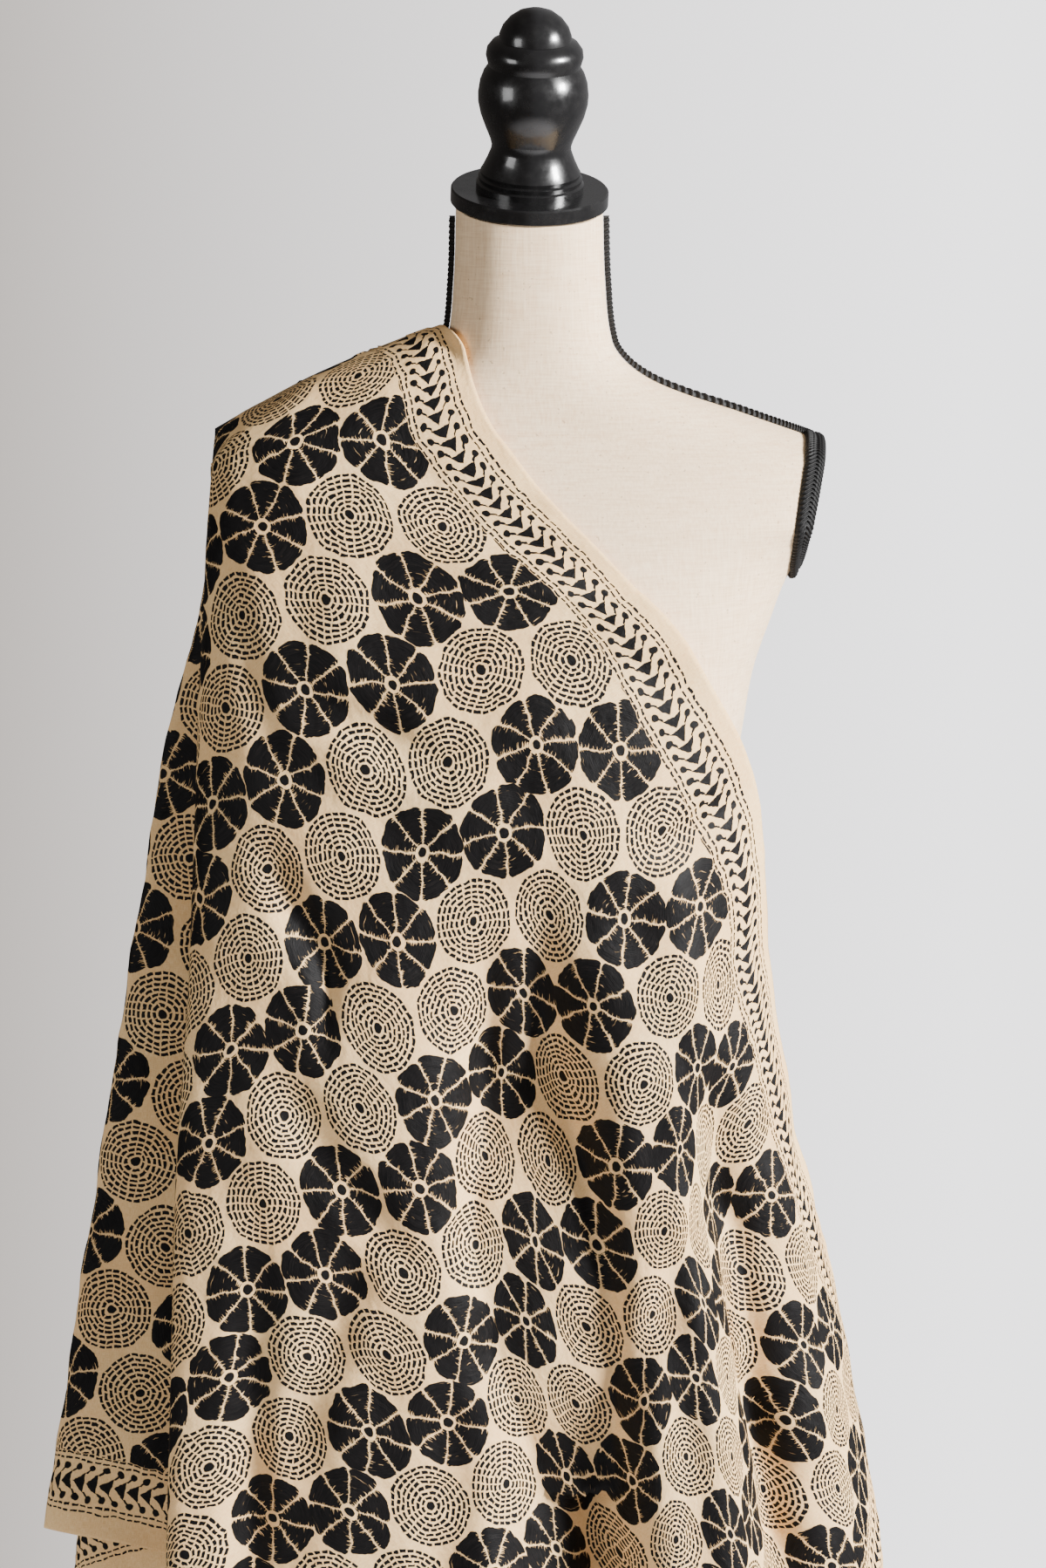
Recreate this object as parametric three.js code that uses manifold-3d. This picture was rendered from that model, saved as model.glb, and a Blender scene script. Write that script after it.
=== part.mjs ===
// A dupatta: one long rectangle of embroidered silk, hung over one shoulder of a limbless dress form.
// Millimetres, +Z up, the form faces -Y, and the origin is the centre of the stand's underside.
// The cloth hangs from one point, the shoulder tip. Round that point the flat cloth is read as
// angles and distances, and each angle goes to the front fall, the side fall or the back fall.
import * as THREE from 'three';
import { mergeVertices } from 'three/addons/utils/BufferGeometryUtils.js';
import Module from 'manifold-3d';

const wasm = await Module();
wasm.setup();
const { clamp, lerp, smoothstep, degToRad, radToDeg } = THREE.MathUtils;

// The flat cloth: across is measured from the selvedge at the neck, along from the shoulder ridge.
const CLOTH = { width: 870, front: 978, back: 1120, wall: 1.6, seam: 0.4 };
// The point of the cloth that hangs on the shoulder tip, and the end of the ridge at the neck.
const TIP = { across: 153, x: -195, z: 1448 };
const NECK_END = { along: 40, z: 1512 };
const LAYER_GAP = 7;
const CREASE_GAP = 26;
const TOUCH_GAP = 0.35;

// Angles of the flat cloth round the tip: 0 points along the front, 90 at the far selvedge.
const FRONT_FOLD_ANGLE = 46;
const BACK_FOLD_ANGLE = 180 - radToDeg(Math.atan((CLOTH.width - TIP.across) / CLOTH.back));
const RIDGE_ANGLE = radToDeg(Math.atan2(-TIP.across, NECK_END.along));
const RIDGE_TURN = FRONT_FOLD_ANGLE - RIDGE_ANGLE;
const BACK_SPREAD = RIDGE_TURN / (360 + RIDGE_ANGLE - BACK_FOLD_ANGLE);

// The body of the form by height: half width, and depth in front of and behind its middle.
const BODY = [
  { z: 830, side: 160, front: 98, back: 96 },
  { z: 890, side: 165, front: 110, back: 107 },
  { z: 960, side: 156, front: 108, back: 103 },
  { z: 1030, side: 127, front: 97, back: 85 },
  { z: 1090, side: 112, front: 89, back: 74 },
  { z: 1150, side: 117, front: 95, back: 76 },
  { z: 1210, side: 126, front: 108, back: 84 },
  { z: 1265, side: 134, front: 119, back: 91 },
  { z: 1300, side: 140, front: 117, back: 94 },
  { z: 1330, side: 150, front: 111, back: 95 },
  { z: 1362, side: 178, front: 101, back: 93 },
  { z: 1395, side: 200, front: 88, back: 86 },
  { z: 1430, side: 207, front: 68, back: 72 },
  { z: 1442, side: 178, front: 61, back: 66 },
  { z: 1451, side: 152, front: 57, back: 61 },
  { z: 1460, side: 126, front: 55, back: 58 },
  { z: 1469, side: 98, front: 53, back: 55 },
  { z: 1478, side: 76, front: 51, back: 53 },
  { z: 1489, side: 60, front: 49, back: 51 },
  { z: 1502, side: 51, front: 48, back: 49 },
  { z: 1540, side: 46.5, front: 46, back: 46 },
  { z: 1586, side: 45, front: 45, back: 45 },
];
const BODY_ROUNDNESS = 2.4;
const BODY_CLEARANCE = { skin: 4, braid: 9.5, pastPlate: 7 };
const BODY_SEGMENTS = 44;
const NECK_TOP = { z: 1586, tilt: 16.3, lean: 2, tiltFrom: 1500 };
// The flat arm plate: its top and bottom points, where it cuts the shoulder off.
const ARM_PLATE = { topX: 183, topZ: 1443, footX: 166, footZ: 1363 };

// The front fall by height: where its left fold lies, how far it stands forward, where its right side lies.
const FRONT_FALL = [
  { z: 80, left: 246, fold: -113, depth: 132, right: 262, bow: 0.8, gather: 1.02, waves: 1.7 },
  { z: 300, left: 241, fold: -113, depth: 133, right: 257, bow: 0.8, gather: 1.02, waves: 1.7 },
  { z: 500, left: 236, fold: -113, depth: 134, right: 250, bow: 0.8, gather: 1.03, waves: 1.7 },
  { z: 702, left: 228, fold: -113, depth: 135, right: 233, bow: 0.8, gather: 1.05, waves: 1.7 },
  { z: 761, left: 226, fold: -112, depth: 135, right: 224, bow: 0.8, gather: 1.07, waves: 1.7 },
  { z: 890, left: 221, fold: -110, depth: 135, right: 199, bow: 0.8, gather: 1.12, waves: 1.7 },
  { z: 996, left: 217, fold: -106, depth: 135, right: 178, bow: 0.8, gather: 1.16, waves: 1.6 },
  { z: 1116, left: 208, fold: -98, depth: 134, right: 158, bow: 0.8, gather: 1.22, waves: 1.18 },
  { z: 1168, left: 206, fold: -88, depth: 132, right: 155, bow: 0.8, gather: 1.2, waves: 0.92 },
  { z: 1220, left: 204, fold: -77, depth: 130, right: 156, bow: 0.76, gather: 1.14, waves: 0.88 },
  { z: 1285, left: 202, fold: -61, depth: 125, right: 166, bow: 0.7, gather: 1.07, waves: 0.93 },
  { z: 1330, left: 200, fold: -46, depth: 117, right: 182, bow: 0.62, gather: 1.02, waves: 1 },
  { z: 1370, left: 199, fold: -30, depth: 104, right: 196, bow: 0.56, gather: 1, waves: 1 },
  { z: 1410, left: 197, fold: -14, depth: 87, right: 196, bow: 0.52, gather: 1, waves: 1 },
  { z: 1440, left: 195, fold: -2, depth: 70, right: 196, bow: 0.5, gather: 1, waves: 1 },
  { z: 1475, left: 195, fold: -0.4, depth: 60, right: 196, bow: 0.5, gather: 1, waves: 1 },
  { z: 1511, left: 195, fold: -0.4, depth: 56, right: 196, bow: 0.5, gather: 1, waves: 1 },
];
// The back fall by height, in the same way.
const BACK_FALL = [
  { z: 80, left: 246, fold: 90, depth: 134, right: 253, bow: 0.8, gather: 1 },
  { z: 300, left: 241, fold: 88, depth: 133, right: 249, bow: 0.8, gather: 1 },
  { z: 500, left: 235, fold: 86, depth: 132, right: 243, bow: 0.8, gather: 1 },
  { z: 702, left: 227, fold: 80, depth: 129, right: 229, bow: 0.8, gather: 1 },
  { z: 761, left: 224, fold: 78, depth: 128, right: 217, bow: 0.8, gather: 1 },
  { z: 890, left: 219, fold: 74, depth: 124, right: 190, bow: 0.8, gather: 1 },
  { z: 996, left: 214, fold: 70, depth: 118, right: 169, bow: 0.8, gather: 1 },
  { z: 1116, left: 207, fold: 64, depth: 111, right: 148, bow: 0.8, gather: 1 },
  { z: 1168, left: 205, fold: 60, depth: 108, right: 143, bow: 0.8, gather: 1 },
  { z: 1220, left: 203, fold: 50, depth: 106, right: 139, bow: 0.78, gather: 1 },
  { z: 1285, left: 201, fold: 38, depth: 104, right: 146, bow: 0.74, gather: 1 },
  { z: 1330, left: 200, fold: 27, depth: 103, right: 158, bow: 0.68, gather: 1 },
  { z: 1370, left: 199, fold: 17, depth: 99, right: 184, bow: 0.58, gather: 1 },
  { z: 1410, left: 197, fold: 7, depth: 90, right: 196, bow: 0.52, gather: 1 },
  { z: 1440, left: 195, fold: 0.4, depth: 79, right: 196, bow: 0.5, gather: 1 },
  { z: 1475, left: 195, fold: 0.4, depth: 63, right: 196, bow: 0.5, gather: 1 },
  { z: 1511, left: 195, fold: 0.4, depth: 58, right: 196, bow: 0.5, gather: 1 },
];
// Above this height a fall keeps the spread that it has here.
const SPREAD_HEIGHT = 1440;
// The ridge over the shoulder is rounded over this much height.
const RIDGE_ROUNDING = { atTip: 24, atNeck: 62 };
const RIDGE_BOW = 5;
const RIDGE_LENGTH = 140;
// Where the ridge would start on the pattern, past its neck end, for each distance from the left fold.
const FRONT_START = [
  { reach: 0, start: 0 }, { reach: 149, start: -80 }, { reach: 200, start: -85 }, { reach: 240, start: -86 },
  { reach: 270, start: -93 }, { reach: 300, start: -104 }, { reach: 350, start: -114 },
  { reach: 400, start: -114 }, { reach: 450, start: -111 }, { reach: 485, start: -120 }, { reach: 540, start: -152 },
  { reach: 600, start: -181 }, { reach: 660, start: -196 }, { reach: 800, start: -215 },
];
// The cloth on the right of the front hangs in small waves, which take up cloth across and a little down.
const WAVES = { from: 50, to: 95, top: 1130, slack: 1.05 };
const wavesAt = (x) => smoothstep(x, WAVES.from, WAVES.to);

// Creases of the front fall: the line of each one, its width and its depth; a ridge has less than none.
const FRONT_CREASES = [
  { topX: -10, topZ: 1245, footX: 62, footZ: 620, width: 78, depth: 46, fade: 300 },
  { topX: 34, topZ: 1225, footX: 112, footZ: 620, width: 70, depth: -12, fade: 300 },
  { topX: -38, topZ: 1215, footX: -8, footZ: 800, width: 54, depth: 10, fade: 200 },
  { topX: 104, topZ: 1120, footX: 182, footZ: 640, width: 40, depth: 16, fade: 180 },
  { topX: 66, topZ: 1080, footX: 118, footZ: 640, width: 36, depth: 9, fade: 200 },
  { topX: -160, topZ: 960, footX: -172, footZ: 560, width: 60, depth: 12, fade: 200 },
  { topX: -92, topZ: 1010, footX: -88, footZ: 560, width: 90, depth: 9, fade: 260 },
];
// The near edge sags on the chest, between two lengths along it and out to a distance from the selvedge.
const EDGE_SAG = { drop: 26, from: 50, to: 330, across: 110 };
// Waves of the back fall: how many there are across it, and how deep they get at the hem.
const BACK_WAVES = { count: 4.5, depth: 12, from: 1300, to: 700, still: 330, stillWidth: 110 };

// The side fall: each fold's angle on the flat cloth, how far it leans out, and its place front to back.
const SIDE_FOLDS = [
  { angle: FRONT_FOLD_ANGLE, lean: 0, place: 0 },
  { angle: 54, lean: -1.2, place: 0.1 },
  { angle: 66, lean: 1.0, place: 0.21 },
  { angle: 78, lean: -1.2, place: 0.32 },
  { angle: 90, lean: 10.7, place: 0.43 },
  { angle: 102, lean: -1.0, place: 0.55 },
  { angle: 114, lean: 6.8, place: 0.67 },
  { angle: 126, lean: -0.6, place: 0.79 },
  { angle: 138, lean: 4.4, place: 0.9 },
  { angle: BACK_FOLD_ANGLE, lean: 0, place: 1 },
];
const SIDE_START = 14;
const SIDE_SEAM = { top: 4.5, foot: 0.6, over: 150 };
const FOLD_ROUNDING = 0.2;
const FOLDS_OPEN = { from: 30, to: 210, lean: 2.2 };

// ---- Reading tables and building solids ----

// Reads a table of named columns at a value of its key column, along smooth curves through its rows.
function readTable(rows, value, key = 'z') {
  const last = rows.length - 1;
  const held = clamp(value, rows[0][key], rows[last][key]);
  let k = 0;
  while (k < last - 1 && rows[k + 1][key] < held) k += 1;
  const [low, high] = [rows[k], rows[k + 1]];
  const [before, after] = [rows[Math.max(k - 1, 0)], rows[Math.min(k + 2, last)]];
  const span = high[key] - low[key];
  const t = (held - low[key]) / span;
  const result = {};
  for (const name of Object.keys(low)) {
    const lowSlope = (high[name] - before[name]) / (high[key] - before[key]) * span;
    const highSlope = (after[name] - low[name]) / (after[key] - low[key]) * span;
    const rise = high[name] - low[name];
    result[name] = low[name] + t * (lowSlope + t * (3 * rise - 2 * lowSlope - highSlope
      + t * (lowSlope + highSlope - 2 * rise)));
  }
  return result;
}

// Makes one closed mesh geometry from points and the quads and triangles that join them.
function closedGeometry(points, faces) {
  const positions = points.flatMap((p) => [p.x, p.y, p.z]);
  const indices = faces.flatMap((f) => (f.length === 4 ? [f[0], f[1], f[2], f[0], f[2], f[3]] : f));
  const geometry = new THREE.BufferGeometry();
  geometry.setAttribute('position', new THREE.Float32BufferAttribute(positions, 3));
  geometry.setIndex(indices);
  return geometry;
}

// Joins rings of equal length into a loft with closed ends; the rings turn right-handed along the way.
function loft(rings, endless = false) {
  const size = rings[0].length;
  const faces = [];
  const points = rings.flat();
  const bands = endless ? rings.length : rings.length - 1;
  for (let i = 0; i < bands; i += 1) {
    const here = i * size;
    const next = ((i + 1) % rings.length) * size;
    for (let j = 0; j < size; j += 1) {
      const k = (j + 1) % size;
      faces.push([here + j, here + k, next + k, next + j]);
    }
  }
  if (!endless) {
    for (const [start, ring, turned] of [[0, rings[0], true], [bands * size, rings[bands], false]]) {
      const middle = ring.reduce((sum, p) => sum.add(p), new THREE.Vector3()).divideScalar(size);
      points.push(middle);
      for (let j = 0; j < size; j += 1) {
        const pair = [start + j, start + (j + 1) % size];
        if (turned) pair.reverse();
        faces.push([...pair, points.length - 1]);
      }
    }
  }
  return closedGeometry(points, faces);
}

// Thickens a grid of points into a wall, half to each side. grid[i][j] goes down with j.
function wall(grid, thickness) {
  const columns = grid.length;
  const rows = grid[0].length;
  const outer = [];
  const inner = [];
  for (let i = 0; i < columns; i += 1) {
    for (let j = 0; j < rows; j += 1) {
      const across = grid[Math.min(i + 1, columns - 1)][j].clone().sub(grid[Math.max(i - 1, 0)][j]);
      const down = grid[i][Math.min(j + 1, rows - 1)].clone().sub(grid[i][Math.max(j - 1, 0)]);
      const normal = down.cross(across).normalize().multiplyScalar(thickness / 2);
      outer.push(grid[i][j].clone().add(normal));
      inner.push(grid[i][j].clone().sub(normal));
    }
  }
  const count = columns * rows;
  const at = (i, j) => i * rows + j;
  const faces = [];
  for (let i = 0; i < columns - 1; i += 1) {
    for (let j = 0; j < rows - 1; j += 1) {
      const quad = [at(i, j), at(i, j + 1), at(i + 1, j + 1), at(i + 1, j)];
      faces.push(quad, quad.map((n) => n + count).reverse());
    }
  }
  const rim = [];
  for (let i = 0; i < columns - 1; i += 1) rim.push(at(i, 0));
  for (let j = 0; j < rows - 1; j += 1) rim.push(at(columns - 1, j));
  for (let i = columns - 1; i > 0; i -= 1) rim.push(at(i, rows - 1));
  for (let j = rows - 1; j > 0; j -= 1) rim.push(at(0, j));
  rim.forEach((n, k) => {
    const next = rim[(k + 1) % rim.length];
    faces.push([n, next, next + count, n + count]);
  });
  return closedGeometry([...outer, ...inner], faces);
}

function toSolid(geometry) {
  const bare = geometry.clone();
  bare.deleteAttribute('normal');
  bare.deleteAttribute('uv');
  const merged = mergeVertices(bare);
  return new wasm.Manifold(new wasm.Mesh({
    numProp: 3,
    vertProperties: new Float32Array(merged.attributes.position.array),
    triVerts: new Uint32Array(merged.index.array),
  }));
}

function toGeometry(solid) {
  const mesh = solid.getMesh();
  const geometry = new THREE.BufferGeometry();
  geometry.setAttribute('position', new THREE.BufferAttribute(mesh.vertProperties, 3));
  geometry.setIndex(new THREE.BufferAttribute(mesh.triVerts, 1));
  return geometry;
}

// ---- The dress form ----

const signedPower = (value, power) => Math.sign(value) * Math.abs(value) ** power;

// A point of the body's skin, moved out by a clearance. The neck's top is cut at a slant.
function bodyPoint(z, angle, clearance = 0) {
  const size = readTable(BODY, z);
  const x = signedPower(Math.cos(angle), 2 / BODY_ROUNDNESS) * (size.side + clearance);
  const depth = Math.sin(angle) < 0 ? size.front : size.back;
  const y = signedPower(Math.sin(angle), 2 / BODY_ROUNDNESS) * (depth + clearance);
  const slant = smoothstep(z, NECK_TOP.tiltFrom, NECK_TOP.z);
  const tilt = Math.tan(degToRad(NECK_TOP.tilt)) * y - Math.tan(degToRad(NECK_TOP.lean)) * x;
  return new THREE.Vector3(x, y, z + slant * tilt);
}

// How far out a point lies from the body's middle: 1 is on the skin, less is inside.
function bodyLevel(x, y, z, clearance = 0) {
  const size = readTable(BODY, z);
  const depth = (y < 0 ? size.front : size.back) + clearance;
  const across = Math.abs(x / (size.side + clearance)) ** BODY_ROUNDNESS;
  return (across + Math.abs(y / depth) ** BODY_ROUNDNESS) ** (1 / BODY_ROUNDNESS);
}

// Moves a cloth point forward or back out of the body and its braid where it would touch.
function clearOfBody(point) {
  const plate = lerp(ARM_PLATE.footX, ARM_PLATE.topX,
    (point.z - ARM_PLATE.footZ) / (ARM_PLATE.topZ - ARM_PLATE.footZ));
  const atPlate = point.z > ARM_PLATE.footZ - 20 && Math.abs(point.x) > plate + BODY_CLEARANCE.pastPlate;
  if (atPlate || point.z < BODY[0].z - 40) return point;
  const size = readTable(BODY, point.z);
  const clearance = BODY_CLEARANCE.skin
    + (BODY_CLEARANCE.braid - BODY_CLEARANCE.skin) * smoothstep(Math.abs(point.x), 140, 165);
  const across = Math.abs(point.x) / (size.side + clearance);
  if (across < 1) {
    const depth = (point.y < 0 ? size.front : size.back) + clearance;
    const skin = depth * (1 - across ** BODY_ROUNDNESS) ** (1 / BODY_ROUNDNESS);
    if (Math.abs(point.y) < skin) point.y = point.y < 0 ? -skin : skin;
  }
  return point;
}

const armPlateAngle = Math.atan2(ARM_PLATE.topX - ARM_PLATE.footX, ARM_PLATE.topZ - ARM_PLATE.footZ);

// The plane that cuts a shoulder, as a block that is taken away.
function armCutter(side, growth) {
  const size = 400;
  const block = new THREE.BoxGeometry(size, size, size);
  block.translate(size / 2 + growth, 0, 0);
  block.rotateY(armPlateAngle);
  block.translate(ARM_PLATE.topX, 0, ARM_PLATE.topZ);
  if (side < 0) block.rotateZ(Math.PI);
  return toSolid(block);
}

function makeTorso(growth = 0) {
  const rings = [];
  for (let k = 0; k < BODY.length - 1; k += 1) {
    const steps = BODY[k + 1].z - BODY[k].z > 40 ? 2 : 1;
    for (let n = 0; n < steps; n += 1) rings.push(lerp(BODY[k].z, BODY[k + 1].z, n / steps));
  }
  rings.push(NECK_TOP.z - TOUCH_GAP);
  const body = loft(rings.map((z) => Array.from({ length: BODY_SEGMENTS }, (_, n) =>
    bodyPoint(z, 2 * Math.PI * n / BODY_SEGMENTS, growth))));
  return toSolid(body).subtract(armCutter(1, growth)).subtract(armCutter(-1, growth));
}

// The braid round an arm plate: a band on the skin that starts at the plate's edge.
function makeArmBraid(side) {
  const braid = { width: 12.5, thick: 3.1, overhang: 0.8, segments: 40, gap: 0.35 };
  const middle = new THREE.Vector3(
    (ARM_PLATE.topX + ARM_PLATE.footX) / 2, 0, (ARM_PLATE.topZ + ARM_PLATE.footZ) / 2);
  const up = new THREE.Vector3(Math.sin(armPlateAngle), 0, Math.cos(armPlateAngle));
  const out = new THREE.Vector3(Math.cos(armPlateAngle), 0, -Math.sin(armPlateAngle));
  const back = new THREE.Vector3(0, 1, 0);
  const edge = (angle, inset, lift) => {
    const way = up.clone().multiplyScalar(Math.cos(angle)).addScaledVector(back, Math.sin(angle));
    const start = middle.clone().addScaledVector(out, -inset);
    let [near, far] = [0, 120];
    for (let n = 0; n < 30; n += 1) {
      const half = (near + far) / 2;
      const p = start.clone().addScaledVector(way, half);
      if (bodyLevel(p.x, p.y, p.z) < 1) near = half;
      else far = half;
    }
    return start.addScaledVector(way, near + lift);
  };
  const rings = Array.from({ length: braid.segments }, (_, n) => {
    const angle = 2 * Math.PI * n / braid.segments;
    const atEdge = edge(angle, 0.5, 0);
    const inboard = edge(angle, braid.width, 0);
    const along = inboard.clone().sub(atEdge).normalize();
    const round = edge(angle + 0.02, 0.5, 0).sub(edge(angle - 0.02, 0.5, 0)).normalize();
    const lift = round.clone().cross(along).normalize();
    const corner = (base, height) => base.clone().addScaledVector(lift, height);
    const start = atEdge.clone().addScaledVector(along, -braid.overhang);
    const end = atEdge.clone().addScaledVector(along, braid.width);
    const low = braid.gap;
    const high = braid.gap + braid.thick;
    const ring = [corner(start, low), corner(end, low), corner(end, high * 0.8),
      corner(start.clone().lerp(end, 0.5), high), corner(start, high * 0.9)];
    for (const p of ring) p.x *= side;
    return side > 0 ? ring : ring.reverse();
  });
  return loft(rings, true);
}

// The braid up the side of the neck and along the shoulder seam.
function makeShoulderBraid(side) {
  const braid = { half: 3.4, thick: 3.4, gap: 0.35, top: 1580, foot: 1445.8, steps: 34 };
  const line = [];
  for (let n = 0; n <= braid.steps; n += 1) {
    const t = n / braid.steps;
    const z = braid.foot + (braid.top - braid.foot) * t ** 1.9;
    line.push(bodyPoint(z, 0));
  }
  const rings = line.map((p, n) => {
    const way = line[Math.min(n + 1, braid.steps)].clone().sub(line[Math.max(n - 1, 0)]).normalize();
    const lift = new THREE.Vector3(way.z, 0, -way.x);
    const corner = (y, height) => p.clone().addScaledVector(lift, height).setY(y);
    const high = braid.gap + braid.thick;
    const ring = [corner(-braid.half, braid.gap), corner(-braid.half, high * 0.75), corner(0, high),
      corner(braid.half, high * 0.75), corner(braid.half, braid.gap)];
    for (const q of ring) q.x *= side;
    return side > 0 ? ring : ring.reverse();
  });
  return loft(rings);
}

// The turned cap: radius by height above its underside, from the flange up to the dome.
function makeNeckCap() {
  const profile = [
    [0, 0], [47.6, 0], [48.5, 1], [48.5, 8.8], [47.6, 9.8], [33, 9.8], [33, 13.4], [31.6, 14.4], [32, 17],
    [30.4, 18], [30.8, 20.4], [29.6, 22.4], [27, 27.8], [24.6, 34], [24.3, 37], [25.6, 41.4], [28.6, 48.4],
    [31.6, 56], [33.4, 63.6], [33.6, 69], [32.6, 76.4], [30.6, 82], [28, 86], [28.6, 88.4], [29.6, 92.2],
    [29, 96.4], [26, 100.4], [22.2, 102], [21.9, 105], [20, 110], [16, 115],
    [10.6, 118.8], [5, 120.6], [0, 121],
  ];
  const cap = new THREE.LatheGeometry(profile.map(([r, h]) => new THREE.Vector2(r, h)), 30);
  cap.rotateX(Math.PI / 2);
  return cap;
}

// ---- The cloth ----

// Splits a place on the flat cloth into its angle and distance round the shoulder tip.
function roundTip(across, along) {
  return {
    angle: radToDeg(Math.atan2(across - TIP.across, along)),
    distance: Math.hypot(across - TIP.across, along),
  };
}

// A fall is a sheet that turns round the tip: its flat angles become angles from straight down.
// side is -1 for the front and 1 for the back; under tells how deep it lies where it goes round the right.
function makeFall({ side, table, turn, startAt, creases, gathers, sag, under }) {
  const arcs = new Map();
  const angleEnd = Math.PI + 2;
  const angleSteps = 160;

  function sectionPoint(size, angle) {
    const reach = Math.cos(angle);
    const x = -reach * (reach > 0 ? size.left : size.right);
    const bow = Math.abs(Math.sin(angle)) ** size.bow;
    const front = angle < Math.PI;
    const depth = front ? size.depth : readTable(under.table, size.z).depth + under.gap;
    const rise = side * (front ? depth : -depth);
    return { x, y: lerp(reach > 0 ? size.fold : 0, rise, bow) };
  }

  // The section with its creases, which take up cloth.
  function creasedSection(size, angle) {
    const point = sectionPoint(size, angle);
    if (!gathers) return point;
    const ahead = sectionPoint(size, angle + 0.01);
    const behind = sectionPoint(size, Math.max(angle - 0.01, 0));
    const way = new THREE.Vector2(ahead.x - behind.x, ahead.y - behind.y).normalize();
    const depth = creases(point, 0, size.z);
    return { x: point.x + way.y * depth, y: point.y - way.x * depth * side };
  }

  function arcTable(level) {
    if (!arcs.has(level)) {
      const size = readTable(table, level);
      const lengths = [0];
      let last = creasedSection(size, 0);
      for (let n = 1; n <= angleSteps; n += 1) {
        const next = creasedSection(size, angleEnd * n / angleSteps);
        const onFront = gathers && angleEnd * n / angleSteps < Math.PI;
        const stretch = onFront ? size.gather * lerp(1, size.waves, wavesAt(next.x)) : 1;
        lengths.push(lengths[n - 1] + stretch * Math.hypot(next.x - last.x, next.y - last.y));
        last = next;
      }
      arcs.set(level, lengths);
    }
    return arcs.get(level);
  }

  function angleOn(level, reach) {
    const lengths = arcTable(level);
    let n = 1;
    while (n < angleSteps && lengths[n] < reach) n += 1;
    return angleEnd * (n - 1 + (reach - lengths[n - 1]) / (lengths[n] - lengths[n - 1])) / angleSteps;
  }

  function angleAt(reach, z) {
    const step = 10;
    const level = Math.min(z, SPREAD_HEIGHT);
    const low = Math.floor(level / step) * step;
    return lerp(angleOn(low, reach), angleOn(low + step, reach), (level - low) / step);
  }

  // The ridge rises to its neck end in a slight bow.
  function ridgeHeight(reach) {
    const t = clamp(reach / RIDGE_LENGTH, 0, 1);
    return lerp(TIP.z, NECK_END.z, t) + RIDGE_BOW * Math.sin(Math.PI * t);
  }

  // The hanging sheet at a distance round from its left fold, at a height. On the ridge it lies straight.
  function hang(reach, z, angle = angleAt(reach, z)) {
    const rounding = lerp(RIDGE_ROUNDING.atTip, RIDGE_ROUNDING.atNeck, clamp(reach / RIDGE_LENGTH, 0, 1));
    const drop = clamp((ridgeHeight(reach) - z) / rounding, 0, 1);
    const spread = readTable(table, Math.min(z, SPREAD_HEIGHT));
    const straight = (1 - drop) * (1 - smoothstep(reach, RIDGE_LENGTH, RIDGE_LENGTH + 100));
    const x = lerp(sectionPoint(spread, angle).x, TIP.x + reach, straight);
    const outmost = x < 0 ? spread.left : spread.right;
    const turned = straight > 0 ? Math.acos(clamp(-x / outmost, -1, 1)) : angle;
    const cap = Math.sqrt(1 - (1 - drop) ** 2);
    const y = side * CLOTH.seam + sectionPoint(readTable(table, z), turned).y * cap;
    return new THREE.Vector3(x, y, z);
  }

  function creased(reach, z) {
    const point = hang(reach, z);
    const ahead = hang(reach + 1, z);
    const behind = hang(Math.max(reach - 1, 0), z);
    const inward = new THREE.Vector3(behind.y - ahead.y, ahead.x - behind.x, 0).normalize();
    point.addScaledVector(inward, -side * creases(point, reach, z));
    return clearOfBody(point);
  }

  const profiles = new Map();
  // Heights along one column, by the length of cloth from the ridge down.
  function profile(reach) {
    const key = Math.round(reach * 100);
    if (!profiles.has(key)) {
      const steps = 120;
      const top = ridgeHeight(reach);
      const rows = [{ length: startAt(reach), z: top }];
      let above = top;
      for (let n = 1; n <= steps; n += 1) {
        const z = top - (top - 60) * (n / steps) ** 2;
        const angle = angleAt(reach, (above + z) / 2);
        const last = hang(reach, above, angle);
        const next = hang(reach, z, angle);
        const slack = gathers && z < WAVES.top ? lerp(1, WAVES.slack, wavesAt(next.x)) : 1;
        rows.push({ length: rows[n - 1].length + slack * last.distanceTo(next), z });
        above = z;
      }
      profiles.set(key, rows);
    }
    return profiles.get(key);
  }

  function point(reach, down) {
    const rows = profile(reach);
    let n = 1;
    while (n < rows.length - 1 && rows[n].length < down) n += 1;
    const [low, high] = [rows[n - 1], rows[n]];
    const t = clamp((down - low.length) / (high.length - low.length), 0, 1);
    return creased(reach, lerp(low.z, high.z, t));
  }

  // Where a place on the flat cloth lies on the fall: round from the left fold, and down.
  function place(across, along) {
    const { angle, distance } = roundTip(across, along);
    const turned = degToRad(turn(angle));
    return { reach: distance * Math.sin(turned), down: distance * Math.cos(turned) + sag(across, along) };
  }

  return { point, place };
}

function crease(table, x, z) {
  let depth = 0;
  for (const row of table) {
    const t = (row.topZ - z) / (row.topZ - row.footZ);
    const away = Math.abs(x - lerp(row.topX, row.footX, t)) / row.width;
    if (t > 0 && away < 1) {
      depth += row.depth * smoothstep(row.topZ - z, 0, row.fade) * Math.cos(away * Math.PI / 2) ** 2;
    }
  }
  return depth;
}

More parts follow.
